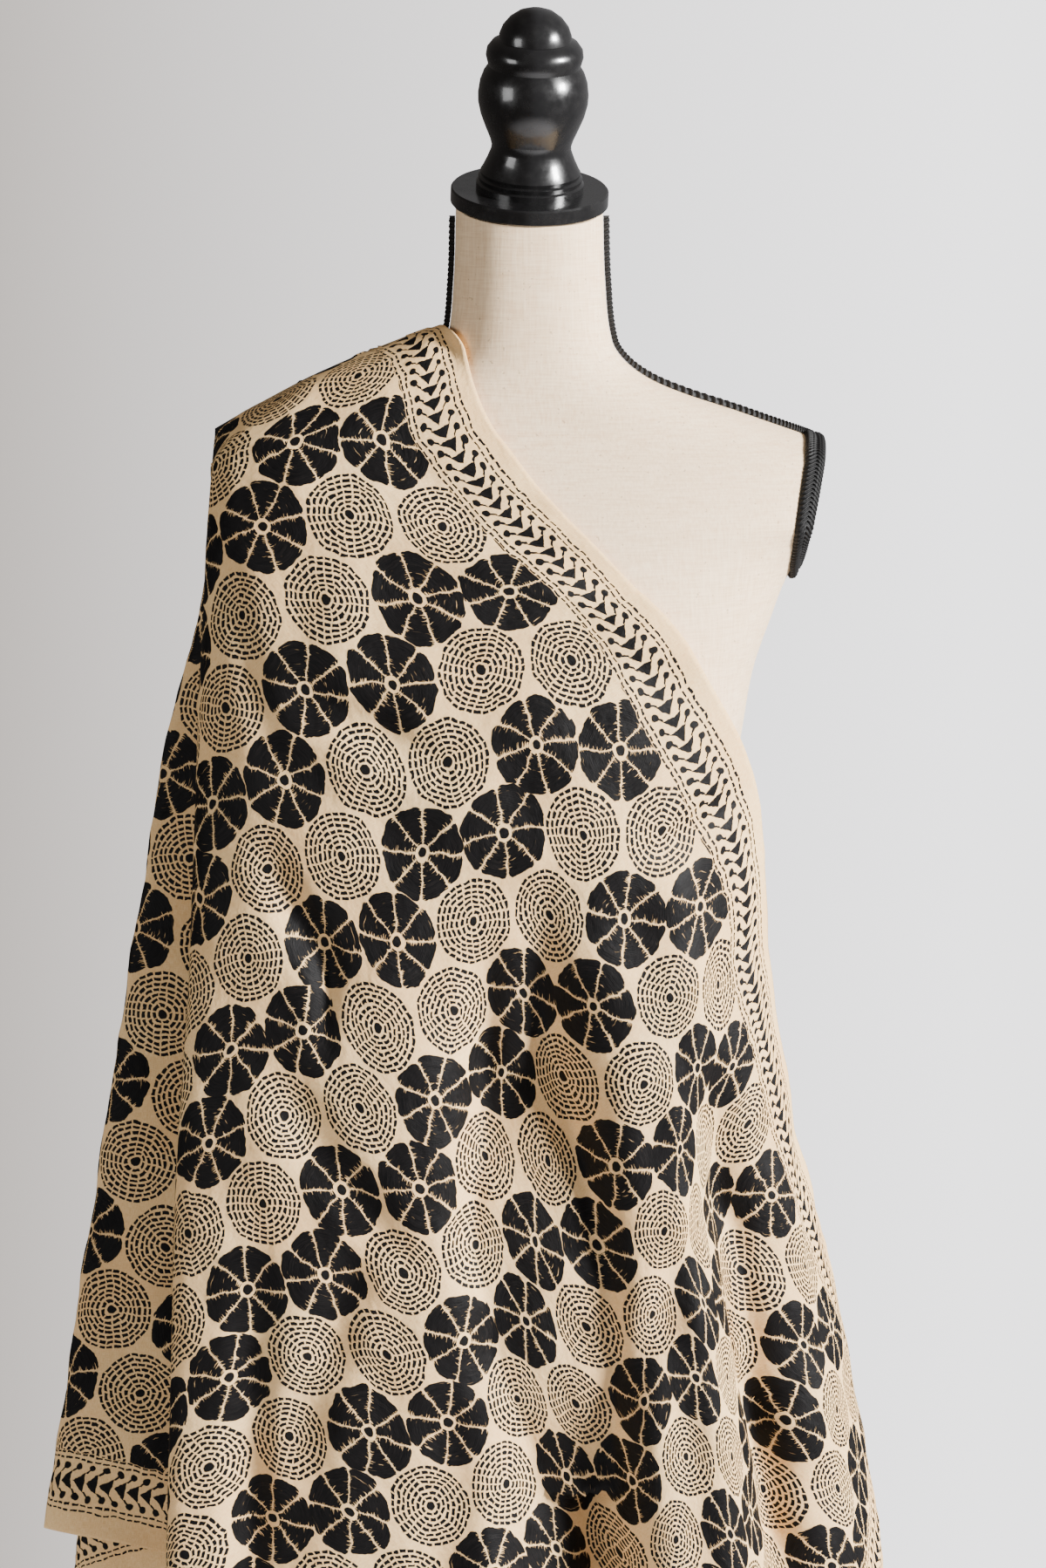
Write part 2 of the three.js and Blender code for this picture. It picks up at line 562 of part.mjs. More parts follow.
const front = makeFall({
  side: -1,
  table: FRONT_FALL,
  turn: (angle) => FRONT_FOLD_ANGLE - angle,
  startAt: (reach) => readTable(FRONT_START, reach, 'reach').start,
  creases: (point, reach, z) => (point.y < 0 ? crease(FRONT_CREASES, point.x, z) : 0),
  gathers: true,
  sag: (across, along) => {
    const t = clamp((along - EDGE_SAG.from) / (EDGE_SAG.to - EDGE_SAG.from), 0, 1);
    return EDGE_SAG.drop * Math.sin(Math.PI * t) ** 2 * clamp(1 - across / EDGE_SAG.across, 0, 1);
  },
  under: { table: BACK_FALL, gap: LAYER_GAP },
});

const back = makeFall({
  side: 1,
  table: BACK_FALL,
  turn: (angle) => ((angle + 360) % 360 - BACK_FOLD_ANGLE) * BACK_SPREAD,
  startAt: (reach) => readTable(FRONT_START, reach, 'reach').start,
  creases: (point, reach, z) => {
    const growth = smoothstep(BACK_WAVES.from - z, 0, BACK_WAVES.from - BACK_WAVES.to);
    const still = 1 - smoothstep(reach, BACK_WAVES.still, BACK_WAVES.still + BACK_WAVES.stillWidth);
    return BACK_WAVES.depth * growth * still * Math.sin(reach / 660 * BACK_WAVES.count * 2 * Math.PI);
  },
  gathers: false,
  sag: () => 0,
  under: { table: FRONT_FALL, gap: -CREASE_GAP },
});

// How far down an edge of the flat cloth lies at a distance round from the left fold.
function edgeDown(fall, edge, reach) {
  let [low, high] = [0, 1];
  const rising = fall.place(...edge(1)).reach > fall.place(...edge(0)).reach;
  for (let n = 0; n < 40; n += 1) {
    const half = (low + high) / 2;
    if ((fall.place(...edge(half)).reach < reach) === rising) low = half;
    else high = half;
  }
  return fall.place(...edge(low)).down;
}

// A fall's wall: columns from the ridge or the near selvedge down to the hem.
function makeFallWall(fall, { end, hem, farEdge, columns, rows }) {
  const ridgeEnd = fall.place(0, NECK_END.along);
  const nearEdge = (t) => [0, lerp(NECK_END.along, hem, t)];
  const hemEdge = (t) => [t * CLOTH.width, hem];
  const corner = fall.place(CLOTH.width, hem);
  const grid = columns.map((reach) => {
    const onRidge = reach < ridgeEnd.reach;
    const top = onRidge ? ridgeEnd.down * reach / ridgeEnd.reach : edgeDown(fall, nearEdge, reach);
    const foot = farEdge && reach < corner.reach
      ? edgeDown(fall, farEdge, reach) : edgeDown(fall, hemEdge, reach);
    return Array.from({ length: rows }, (_, j) =>
      fall.point(reach, lerp(top, foot, (j / (rows - 1)) ** 1.6)));
  });
  return wall(grid, CLOTH.wall);
}

// Distances from the left fold, close together where the creases are.
function spacing(end, wide, close, closeFrom, closeTo) {
  const places = [CLOTH.seam];
  while (places[places.length - 1] < end) {
    const last = places[places.length - 1];
    const step = last < 20 ? 8 : (last > closeFrom && last < closeTo ? close : wide);
    places.push(Math.min(last + step, end));
  }
  return places;
}

// The side fall: a fan of folds that opens from the shoulder tip down to the far selvedge.
function sidePoint(index, distance) {
  const k = clamp(Math.round(index), 0, SIDE_FOLDS.length - 1);
  const ends = [front.point(0, distance), back.point(0, distance)];
  const seam = lerp(SIDE_SEAM.top, SIDE_SEAM.foot, smoothstep(distance, 60, SIDE_SEAM.over));
  ends[0].y += seam;
  ends[1].y -= seam;
  const fold = (n) => {
    const { lean, place } = SIDE_FOLDS[n];
    const opened = smoothstep(distance, FOLDS_OPEN.from, FOLDS_OPEN.to);
    const angle = degToRad(lerp(FOLDS_OPEN.lean, lean, opened));
    const between = ends[0].clone().lerp(ends[1], place);
    if (n === 0 || n === SIDE_FOLDS.length - 1) return between;
    const [out, down] = [distance * Math.sin(angle), distance * Math.cos(angle)];
    return new THREE.Vector3(TIP.x - out, between.y, TIP.z - down);
  };
  const here = fold(k);
  const before = k > 0 ? here.clone().lerp(fold(k - 1), FOLD_ROUNDING) : null;
  const after = k < SIDE_FOLDS.length - 1 ? here.clone().lerp(fold(k + 1), FOLD_ROUNDING) : null;
  const offset = index - k;
  if (Math.abs(offset) > FOLD_ROUNDING) {
    const [low, high] = [Math.floor(index), Math.floor(index) + 1];
    return fold(low).lerp(fold(high), index - low);
  }
  const bow = (ends[1].y - ends[0].y) * 0.05;
  if (k === 0) return bezier(here, here.clone().setY(here.y + bow), after, offset / FOLD_ROUNDING);
  if (!after) return bezier(before, here.clone().setY(here.y - bow), here, 1 + offset / FOLD_ROUNDING);
  return bezier(before, here, after, (offset + FOLD_ROUNDING) / (2 * FOLD_ROUNDING));
}

function bezier(a, b, c, t) {
  return a.clone().lerp(b, t).lerp(b.clone().lerp(c, t), t);
}

function makeSideFall() {
  const rows = 20;
  const last = SIDE_FOLDS.length - 1;
  const indices = [0, 0.1, 0.2];
  for (let k = 1; k < last; k += 1) indices.push(k - 0.2, k - 0.07, k + 0.07, k + 0.2);
  indices.push(last - 0.2, last - 0.1, last);
  const grid = indices.map((index) => {
    const low = Math.min(Math.floor(index), last - 1);
    const angle = lerp(SIDE_FOLDS[low].angle, SIDE_FOLDS[low + 1].angle, index - low);
    const foot = (CLOTH.width - TIP.across) / Math.sin(degToRad(angle));
    return Array.from({ length: rows }, (_, j) =>
      sidePoint(index, lerp(SIDE_START, foot, (j / (rows - 1)) ** 1.5)));
  });
  return wall(grid, CLOTH.wall);
}

// ---- The whole ----

const silk = new THREE.MeshStandardMaterial({ color: 0xdac0a4, roughness: 0.7, metalness: 0 });
const linen = new THREE.MeshStandardMaterial({ color: 0xefe2d0, roughness: 0.9, metalness: 0 });
const braid = new THREE.MeshStandardMaterial({ color: 0x161616, roughness: 0.75, metalness: 0 });
const lacquer = new THREE.MeshStandardMaterial({ color: 0x0c0c0c, roughness: 0.25, metalness: 0 });
const iron = new THREE.MeshStandardMaterial({ color: 0x101010, roughness: 0.45, metalness: 0.4 });

const dupatta = new THREE.Group();

function addPiece(name, geometry, material, parent = dupatta) {
  const mesh = new THREE.Mesh(geometry, material);
  mesh.name = name;
  parent.add(mesh);
  return mesh;
}

addPiece('front_fall', makeFallWall(front, {
  hem: CLOTH.front,
  farEdge: (t) => [CLOTH.width, t * CLOTH.front],
  columns: spacing(front.place(0, CLOTH.front).reach - 8, 22, 12, 190, 430),
  rows: 36,
}), silk);
addPiece('side_fall', makeSideFall(), silk);
addPiece('back_fall', makeFallWall(back, {
  hem: -CLOTH.back,
  columns: spacing(back.place(0, -CLOTH.back).reach - 8, 21, 21, 0, 0),
  rows: 24,
}), silk);

const besideTorso = makeTorso(TOUCH_GAP);
const offTorso = (geometry) => toGeometry(toSolid(geometry).subtract(besideTorso));
addPiece('torso', toGeometry(makeTorso()), linen);
for (const [name, side] of [['right', 1], ['left', -1]]) {
  addPiece(`shoulder_braid_${name}`, offTorso(makeShoulderBraid(side)), braid);
  addPiece(`arm_braid_${name}`, offTorso(makeArmBraid(side)), braid);
}

const neckTop = new THREE.Group();
neckTop.position.set(0, 0, NECK_TOP.z);
neckTop.rotation.set(degToRad(NECK_TOP.tilt), degToRad(NECK_TOP.lean), 0);
dupatta.add(neckTop);
addPiece('neck_cap', makeNeckCap(), lacquer, neckTop);

const STAND = { baseRadius: 205, baseRim: 12, baseHeight: 24, poleRadius: 14 };
const baseProfile = [
  [0, 0], [STAND.baseRadius - 1, 0], [STAND.baseRadius, 1], [STAND.baseRadius, STAND.baseRim - 2],
  [STAND.baseRadius - 2, STAND.baseRim], [STAND.baseRadius * 0.5, STAND.baseHeight - 4],
  [STAND.poleRadius * 2, STAND.baseHeight], [0, STAND.baseHeight]];
const base = new THREE.LatheGeometry(baseProfile.map(([r, h]) => new THREE.Vector2(r, h)), 48);
base.rotateX(Math.PI / 2);
addPiece('base', base, iron);

const poleFoot = STAND.baseHeight + 0.3;
const poleLength = BODY[0].z - 0.3 - poleFoot;
const pole = new THREE.CylinderGeometry(STAND.poleRadius, STAND.poleRadius, poleLength, 24);
pole.rotateX(Math.PI / 2);
pole.translate(0, 0, poleFoot + poleLength / 2);
addPiece('pole', pole, iron);

export default dupatta;
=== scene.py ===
"""A kantha-embroidered silk dupatta, hung over one shoulder of a limbless dress form on its stand.

The cloth is one rectangle. It is made flat, cut along its fold lines into the stretches that hang in
front, at the side and behind, and every point of it is then moved to where it hangs. All in metres.
"""
import math
from bisect import bisect_left

import bmesh
import bpy
from mathutils import Matrix, Vector
from mathutils.noise import noise as noise_3d


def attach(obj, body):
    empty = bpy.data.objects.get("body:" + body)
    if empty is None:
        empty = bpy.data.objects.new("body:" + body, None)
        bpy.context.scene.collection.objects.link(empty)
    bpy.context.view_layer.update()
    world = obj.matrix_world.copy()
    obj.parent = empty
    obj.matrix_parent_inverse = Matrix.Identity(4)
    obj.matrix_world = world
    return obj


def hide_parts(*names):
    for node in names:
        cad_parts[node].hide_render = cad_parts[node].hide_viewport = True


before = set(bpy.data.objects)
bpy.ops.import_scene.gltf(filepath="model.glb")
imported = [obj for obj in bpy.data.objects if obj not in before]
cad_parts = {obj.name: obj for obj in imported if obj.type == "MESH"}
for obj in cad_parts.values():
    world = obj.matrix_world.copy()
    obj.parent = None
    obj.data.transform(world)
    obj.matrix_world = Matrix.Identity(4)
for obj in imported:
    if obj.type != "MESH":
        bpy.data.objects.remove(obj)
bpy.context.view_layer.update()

# ---- Camera ----
# An 85 mm lens at head height, tipped ten degrees down, a little to the left of the form's middle.
camera_data = bpy.data.cameras.new("camera")
camera_data.lens = 85
camera_data.sensor_width = 36
camera = bpy.data.objects.new("camera", camera_data)
camera.location = (-0.00385, -2.2995, 1.6295)
camera.rotation_euler = (math.radians(80), 0, 0)
bpy.context.scene.collection.objects.link(camera)
bpy.context.scene.camera = camera

# ---- Torso ----
# A padded torso covered tight in cream linen. It is lofted from rings that get narrower at the waist
# and neck, and a flat plate cuts each shoulder where an arm would start.
# By height: half width, depth in front of the middle, and depth behind it.
BODY = [
    (0.83, 0.16, 0.098, 0.096), (0.89, 0.165, 0.11, 0.107), (0.96, 0.156, 0.108, 0.103),
    (1.03, 0.127, 0.097, 0.085), (1.09, 0.112, 0.089, 0.074), (1.15, 0.117, 0.095, 0.076),
    (1.21, 0.126, 0.108, 0.084), (1.265, 0.134, 0.119, 0.091), (1.3, 0.14, 0.117, 0.094),
    (1.33, 0.15, 0.111, 0.095), (1.362, 0.163, 0.101, 0.093), (1.38, 0.179, 0.094, 0.09),
    (1.395, 0.2, 0.088, 0.086), (1.43, 0.207, 0.068, 0.072), (1.442, 0.178, 0.061, 0.066),
    (1.451, 0.152, 0.057, 0.061), (1.46, 0.126, 0.055, 0.058), (1.469, 0.098, 0.053, 0.055),
    (1.478, 0.076, 0.051, 0.053), (1.489, 0.06, 0.049, 0.051), (1.502, 0.051, 0.048, 0.049),
    (1.54, 0.0465, 0.046, 0.046), (1.586, 0.045, 0.045, 0.045),
]
BODY_ROUNDNESS = 2.4
NECK_TOP = {"z": 1.586, "tilt": math.radians(16.3), "lean": math.radians(2), "tilt_from": 1.5}
ARM_PLATE = {"top": Vector((0.183, 0, 1.443)), "foot": Vector((0.166, 0, 1.363))}
TORSO_SEGMENTS = 144
TORSO_RINGS = 180


def clamp(value, low=0.0, high=1.0):
    return max(low, min(high, value))


def lerp(a, b, t):
    return a + (b - a) * t


def ease(value, start, end):
    """Goes smoothly from 0 at start to 1 at end."""
    t = clamp((value - start) / (end - start))
    return t * t * (3 - 2 * t)


def read(rows, value):
    """The columns of a table at a value of its first column, along smooth curves through its rows."""
    value = clamp(value, rows[0][0], rows[-1][0])
    k = clamp(bisect_left(rows, (value,)) - 1, 0, len(rows) - 2)
    low, high = rows[k], rows[k + 1]
    before, after = rows[max(k - 1, 0)], rows[min(k + 2, len(rows) - 1)]
    span = high[0] - low[0]
    t = (value - low[0]) / span
    into, out = span / (high[0] - before[0]), span / (after[0] - low[0])
    found = []
    for a, b, c, d in zip(before[1:], low[1:], high[1:], after[1:]):
        start, end, rise = (c - a) * into, (d - b) * out, c - b
        found.append(b + t * (start + t * (3 * rise - 2 * start - end + t * (start + end - 2 * rise))))
    return found


def signed_power(value, power):
    return math.copysign(abs(value) ** power, value)


def body_point(z, angle):
    """A point of the torso's skin. The neck's top is cut at a slant."""
    side, ahead, behind = read(BODY, z)
    x = signed_power(math.cos(angle), 2 / BODY_ROUNDNESS) * side
    y = signed_power(math.sin(angle), 2 / BODY_ROUNDNESS) * (ahead if math.sin(angle) < 0 else behind)
    slant = ease(z, NECK_TOP["tilt_from"], NECK_TOP["z"])
    return Vector((x, y, z + slant * (math.tan(NECK_TOP["tilt"]) * y - math.tan(NECK_TOP["lean"]) * x)))


def make_object(name, shape, material):
    mesh = bpy.data.meshes.new(name)
    shape.to_mesh(mesh)
    shape.free()
    mesh.materials.append(material)
    made = bpy.data.objects.new(name, mesh)
    bpy.context.scene.collection.objects.link(made)
    return made


def finish_piece(name, shape, material, nodes, sharp_over=35):
    """Makes a smooth-shaded piece from a bmesh, in place of its solids."""
    piece = make_object(name, shape, material)
    piece.data.shade_smooth()
    piece.data.set_sharp_from_angle(angle=math.radians(sharp_over))
    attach(piece, "root")
    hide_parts(*nodes)
    return piece


def node_maker(tree):
    """A maker of one tree's nodes, which come with their inputs set or linked."""
    def node(kind, inputs=(), **settings):
        made = tree.nodes.new(kind)
        for setting, value in settings.items():
            setattr(made, setting, value)
        for socket, value in dict(inputs).items():
            if isinstance(value, bpy.types.NodeSocket):
                tree.links.new(value, made.inputs[socket])
            else:
                made.inputs[socket].default_value = value
        return made

    return node


def new_material(name, roughness, metallic=0.0):
    """A material with its shader and the maker of its nodes."""
    material = bpy.data.materials.new(name)
    material.use_nodes = True
    shader = material.node_tree.nodes["Principled BSDF"]
    shader.inputs["Roughness"].default_value = roughness
    shader.inputs["Metallic"].default_value = metallic
    return material, shader, node_maker(material.node_tree)


def linear(red, green, blue):
    """A colour that is given in everyday 0 to 255 steps, as the shader wants it."""
    return [((c / 255 + 0.055) / 1.055) ** 2.4 if c > 10 else c / 255 / 12.92
            for c in (red, green, blue)] + [1]


def mixed(node, factor, first, second):
    """A colour between two others, made by a tree's node maker."""
    return node("ShaderNodeMix", {0: factor, 6: first, 7: second}, data_type="RGBA").outputs[2]


def link_all(shader, sources):
    for socket, source in sources.items():
        shader.id_data.links.new(source, shader.inputs[socket])


def bumped(node, height, strength, distance):
    return node("ShaderNodeBump", {
        "Height": height, "Strength": strength, "Distance": distance}).outputs["Normal"]


def fade(value, start, end, top=1.0):
    """0 at start and top at end, straight between them. This and noise work in the newest material."""
    return node("ShaderNodeMapRange", {
        "Value": value, "From Min": start, "From Max": end, "To Max": top}).outputs["Result"]


def noise(vector, scale, detail=1.0, output="Fac"):
    return node("ShaderNodeTexNoise", {"Vector": vector, "Scale": scale, "Detail": detail}).outputs[output]


linen, shader, node = new_material("cream_linen", 0.9)
place = node("ShaderNodeTexCoord").outputs["Object"]
yarns = [
    noise(node("ShaderNodeMapping", {"Vector": place, "Scale": stretch}).outputs["Vector"], 1.0, 3.0)
    for stretch in ((60, 60, 900), (700, 700, 60))]
weave = node("ShaderNodeMath", {0: yarns[0], 1: yarns[1]}, operation="ADD").outputs[0]
woven = mixed(node, fade(weave, 0.72, 1.28), linear(226, 192, 150), linear(250, 224, 186))
clouded = mixed(node, fade(noise(place, 9.0, 2.0), 0.0, 1.0, 0.5), woven, linear(240, 208, 170))
flecked = mixed(node, fade(noise(place, 420.0), 0.71, 0.76, 0.5), clouded, linear(150, 118, 88))
link_all(shader, {"Base Color": flecked, "Normal": bumped(node, weave, 0.25, 0.0004)})

torso_mesh = bmesh.new()
bmesh.ops.create_grid(torso_mesh, x_segments=TORSO_SEGMENTS, y_segments=TORSO_RINGS, size=0.5)
for vertex in torso_mesh.verts:
    turn, climb = vertex.co.x + 0.5, vertex.co.y + 0.5
    vertex.co = body_point(lerp(BODY[0][0], NECK_TOP["z"], climb), turn * 2 * math.pi)
bmesh.ops.remove_doubles(torso_mesh, verts=torso_mesh.verts, dist=1e-5)
for side in (1, -1):
    plate_way = ARM_PLATE["top"] - ARM_PLATE["foot"]
    bmesh.ops.bisect_plane(
        torso_mesh, geom=torso_mesh.verts[:] + torso_mesh.edges[:] + torso_mesh.faces[:],
        plane_co=(ARM_PLATE["top"].x * side, 0, ARM_PLATE["top"].z),
        plane_no=(plate_way.z * side, 0, -plate_way.x), clear_outer=True)
bmesh.ops.holes_fill(torso_mesh, edges=[edge for edge in torso_mesh.edges if edge.is_boundary])
bmesh.ops.recalc_face_normals(torso_mesh, faces=torso_mesh.faces)
finish_piece("torso_linen", torso_mesh, linen, ["torso"])

# ---- Braids ----
# Black gimp braid in two rows of slanted stitches. The wide one goes round each arm plate, and the
# narrow one goes from the plate along the shoulder and up the side of the neck.
ARM_BRAID = {"width": 0.0125, "thick": 0.0031, "overhang": 0.0008, "gap": 0.00035}
SHOULDER_BRAID = {"half": 0.0034, "thick": 0.0034, "gap": 0.00035, "top": 1.58, "foot": 1.4442, "climb": 1.9}
STITCH_PITCH = 0.0034
STITCH_STEPS = 6
STITCH_RELIEF = 0.16
ARM_BRAID_LENGTH = 0.420
SHOULDER_BRAID_LENGTH = 0.240


def braid_section(width, low, high):
    """Half round across a braid: places across it and heights above the skin, once round."""
    top = [(0.04, 0.5), (0.12, 0.9), (0.25, 1), (0.4, 0.94), (0.5, 0.72), (0.6, 0.94), (0.75, 1), (0.88, 0.9),
           (0.96, 0.5)]
    return [(0, low)] + [(width * t, lerp(low, high, h)) for t, h in top] + [(width, low)]


def braid_mesh(section, length, closed, at):
    """A band of two rows of slanted stitches; at(t, across, height) gives a point of it."""
    band = bmesh.new()
    count, width = len(section), section[-1][0]
    steps = round(length / STITCH_PITCH * STITCH_STEPS)
    bmesh.ops.create_grid(band, x_segments=steps, y_segments=count, size=0.5)
    layer = band.loops.layers.uv.new("braid")
    for vertex in band.verts:
        t, k = vertex.co.x + 0.5, round((vertex.co.y + 0.5) * count)
        across, height = section[k % count]
        slant = abs(across - width / 2) / STITCH_PITCH + t * length / STITCH_PITCH
        vertex.co = at(t, across, height * (1 + STITCH_RELIEF * math.sin(2 * math.pi * slant)))
        for loop in vertex.link_loops:
            loop[layer].uv = (t, across)
    bmesh.ops.remove_doubles(band, verts=band.verts, dist=1e-6)
    if not closed:
        bmesh.ops.holes_fill(band, edges=[edge for edge in band.edges if edge.is_boundary])
    bmesh.ops.recalc_face_normals(band, faces=band.faces)
    return band


def gimp_material(name, length, width):
    """Black braid: stitches that slant from both edges to the middle. Its UV map holds the part of the
    length and the place across."""
    material, shader, node = new_material(name, 0.62)
    spot = node("ShaderNodeSeparateXYZ", {0: node("ShaderNodeUVMap", uv_map="braid").outputs[0]})

    def calc(operation, *values):
        return node("ShaderNodeMath", dict(enumerate(values)), operation=operation).outputs[0]

    along = calc("MULTIPLY", spot.outputs[0], length / STITCH_PITCH)
    row = calc("ABSOLUTE", calc("SUBTRACT", spot.outputs[1], width / 2))
    slant = calc("MULTIPLY_ADD", row, 1 / STITCH_PITCH, along)
    ridge = calc("SINE", calc("MULTIPLY", slant, 2 * math.pi))
    height = node("ShaderNodeMapRange", {"Value": ridge, "From Min": -1, "From Max": 1}).outputs["Result"]
    # Painted sheen: the black is lighter on the top of each stitch ridge, for light that the thread catches
    # there.
    colour = mixed(node, height, linear(6, 6, 6), linear(26, 25, 25))
    shader.inputs["Specular IOR Level"].default_value = 0.25
    link_all(shader, {"Base Color": colour, "Normal": bumped(node, height, 0.9, 0.0008)})
    return material


plate_up = (ARM_PLATE["top"] - ARM_PLATE["foot"]).normalized()
plate_out = Vector((plate_up.z, 0, -plate_up.x))
plate_middle = (ARM_PLATE["top"] + ARM_PLATE["foot"]) / 2
PLATE_SEARCH = {"reach": 0.12, "halvings": 24, "inset": 0.0005, "step": 0.02}


def body_level(point):
    """How far out a point lies from the body's middle: 1 is on the skin, less is inside."""
    side, ahead, behind = read(BODY, point.z)
    depth = ahead if point.y < 0 else behind
    total = abs(point.x / side) ** BODY_ROUNDNESS + abs(point.y / depth) ** BODY_ROUNDNESS
    return total ** (1 / BODY_ROUNDNESS)


def plate_edge(angle, inset):
    """The skin beside an arm plate, at an angle round the plate and a distance in from it."""
    way = plate_up * math.cos(angle) + Vector((0, math.sin(angle), 0))
    start = plate_middle - plate_out * inset
    near, far = 0.0, PLATE_SEARCH["reach"]
    for _ in range(PLATE_SEARCH["halvings"]):
        half = (near + far) / 2
        if body_level(start + way * half) < 1:
            near = half
        else:
            far = half
    return start + way * near


def arm_braid_point(side):
    frames = {}

    def at(t, across, height):
        angle = 2 * math.pi * t
        if t not in frames:
            inset, step = PLATE_SEARCH["inset"], PLATE_SEARCH["step"]
            edge = plate_edge(angle, inset)
            along = (plate_edge(angle, ARM_BRAID["width"]) - edge).normalized()
            round_plate = (plate_edge(angle + step, inset) - plate_edge(angle - step, inset)).normalized()
            frames[t] = (edge, along, round_plate.cross(along).normalized())
        edge, along, lift = frames[t]
        point = edge + along * (across - ARM_BRAID["overhang"]) + lift * height
        return Vector((point.x * side, point.y, point.z))

    return at


def shoulder_braid_point(side):
    def skin(t):
        climb = clamp(t) ** SHOULDER_BRAID["climb"]
        return body_point(lerp(SHOULDER_BRAID["foot"], SHOULDER_BRAID["top"], climb), 0)

    def at(t, across, height):
        way = (skin(t + 0.01) - skin(t - 0.01)).normalized()
        point = skin(t) + Vector((way.z, 0, -way.x)) * height
        return Vector((point.x * side, across - SHOULDER_BRAID["half"], point.z))

    return at


arm_width = ARM_BRAID["width"] + ARM_BRAID["overhang"]
arm_gimp = gimp_material("black_gimp_wide", ARM_BRAID_LENGTH, arm_width)
shoulder_gimp = gimp_material("black_gimp_narrow", SHOULDER_BRAID_LENGTH, SHOULDER_BRAID["half"] * 2)
arm_section = braid_section(arm_width, ARM_BRAID["gap"], ARM_BRAID["gap"] + ARM_BRAID["thick"])
shoulder_section = braid_section(
    SHOULDER_BRAID["half"] * 2, SHOULDER_BRAID["gap"], SHOULDER_BRAID["gap"] + SHOULDER_BRAID["thick"])
for name, side in (("right", 1), ("left", -1)):
    finish_piece(f"arm_gimp_{name}", braid_mesh(arm_section, ARM_BRAID_LENGTH, True, arm_braid_point(side)),
                 arm_gimp, [f"arm_braid_{name}"], 60)
    shoulder_mesh = braid_mesh(shoulder_section, SHOULDER_BRAID_LENGTH, False, shoulder_braid_point(side))
    finish_piece(f"shoulder_gimp_{name}", shoulder_mesh, shoulder_gimp,
                 [f"shoulder_braid_{name}"], 60)

# ---- Neck cap ----
# A turned wooden finial in black lacquer: a flat flange on the neck, thin beads, a vase and a dome.
# It is spun from its profile, and sits on the neck's slanted top.
# Radius and height above the flange's underside.
CAP_PROFILE = [
    (0, 0), (0.0476, 0), (0.0485, 0.001), (0.0485, 0.0088), (0.0476, 0.0098), (0.033, 0.0098),
    (0.033, 0.0134), (0.0316, 0.0144), (0.032, 0.017), (0.0304, 0.018), (0.0308, 0.0204), (0.0296, 0.0224),
    (0.027, 0.0278), (0.0246, 0.034), (0.0243, 0.037), (0.0256, 0.0414), (0.0286, 0.0484), (0.0316, 0.056),
    (0.0334, 0.0636), (0.0336, 0.069), (0.0326, 0.0764), (0.0306, 0.082), (0.028, 0.086), (0.0286, 0.0884),
    (0.0296, 0.0922), (0.029, 0.0964), (0.026, 0.1004), (0.0222, 0.102), (0.0219, 0.105), (0.020, 0.110),
    (0.016, 0.115), (0.0106, 0.1188), (0.005, 0.1206), (0, 0.121),
]


def spun(profile, steps):
    """A closed round shape about Z, from a profile of radius and height that starts and ends on Z."""
    shape = bmesh.new()
    points = [shape.verts.new((radius, 0, height)) for radius, height in profile]
    edges = [shape.edges.new(ends) for ends in zip(points, points[1:])]
    bmesh.ops.spin(shape, geom=points + edges, axis=(0, 0, 1), cent=(0, 0, 0), angle=2 * math.pi,
                   steps=steps, use_merge=True)
    bmesh.ops.remove_doubles(shape, verts=shape.verts, dist=1e-6)
    bmesh.ops.recalc_face_normals(shape, faces=shape.faces)
    return shape


lacquer, shader, node = new_material("black_lacquer", 0.22)
place = node("ShaderNodeTexCoord").outputs["Object"]
dust = noise(place, 140.0, 4.0)
matt = node("ShaderNodeMapRange", {"Value": dust, "From Min": 0.3, "From Max": 0.75, "To Min": 0.17,
                                   "To Max": 0.34}).outputs["Result"]
tint = mixed(node, dust, linear(9, 9, 10), linear(24, 23, 23))
link_all(shader, {"Roughness": matt, "Base Color": tint})
shader.inputs["Coat Weight"].default_value = 0.4
shader.inputs["Coat Roughness"].default_value = 0.1

cap_mesh = spun(CAP_PROFILE, 96)
bmesh.ops.transform(cap_mesh, verts=cap_mesh.verts, matrix=(
    Matrix.Translation((0, 0, NECK_TOP["z"])) @ Matrix.Rotation(NECK_TOP["tilt"], 4, "X")
    @ Matrix.Rotation(NECK_TOP["lean"], 4, "Y")))
finish_piece("finial", cap_mesh, lacquer, ["neck_cap"], 40)

# ---- Stand ----
# A round iron base with a thin edge and a low cone, and a steel pole into the torso, powder-coated black.
BASE = {"radius": 0.205, "rim": 0.012, "height": 0.024}
POLE = {"radius": 0.014, "foot": 0.0243, "top": 0.8297}

iron, shader, node = new_material("black_powder_coat", 0.45, 0.3)
place = node("ShaderNodeTexCoord").outputs["Object"]
worn = mixed(node, noise(place, 14.0, 5.0), linear(12, 12, 13), linear(34, 33, 33))
grit = bumped(node, noise(place, 900.0, 2.0), 0.35, 0.0003)
link_all(shader, {"Base Color": worn, "Normal": grit})

base_mesh = spun([
    (0, 0), (BASE["radius"] - 0.002, 0), (BASE["radius"], 0.002), (BASE["radius"], BASE["rim"] - 0.003),
    (BASE["radius"] - 0.001, BASE["rim"] - 0.001), (BASE["radius"] - 0.003, BASE["rim"]),
    (BASE["radius"] * 0.75, BASE["rim"] + 0.004), (BASE["radius"] * 0.5, BASE["height"] - 0.004),
    (BASE["radius"] * 0.3, BASE["height"] - 0.0015), (POLE["radius"] * 2, BASE["height"] - 0.0002),
    (0, BASE["height"])], 128)
finish_piece("stand_base", base_mesh, iron, ["base"], 30)
pole_mesh = spun([
    (0, POLE["foot"]), (POLE["radius"] - 0.001, POLE["foot"]), (POLE["radius"], POLE["foot"] + 0.001),
    (POLE["radius"], POLE["top"] - 0.001), (POLE["radius"] - 0.001, POLE["top"]), (0, POLE["top"])], 64)
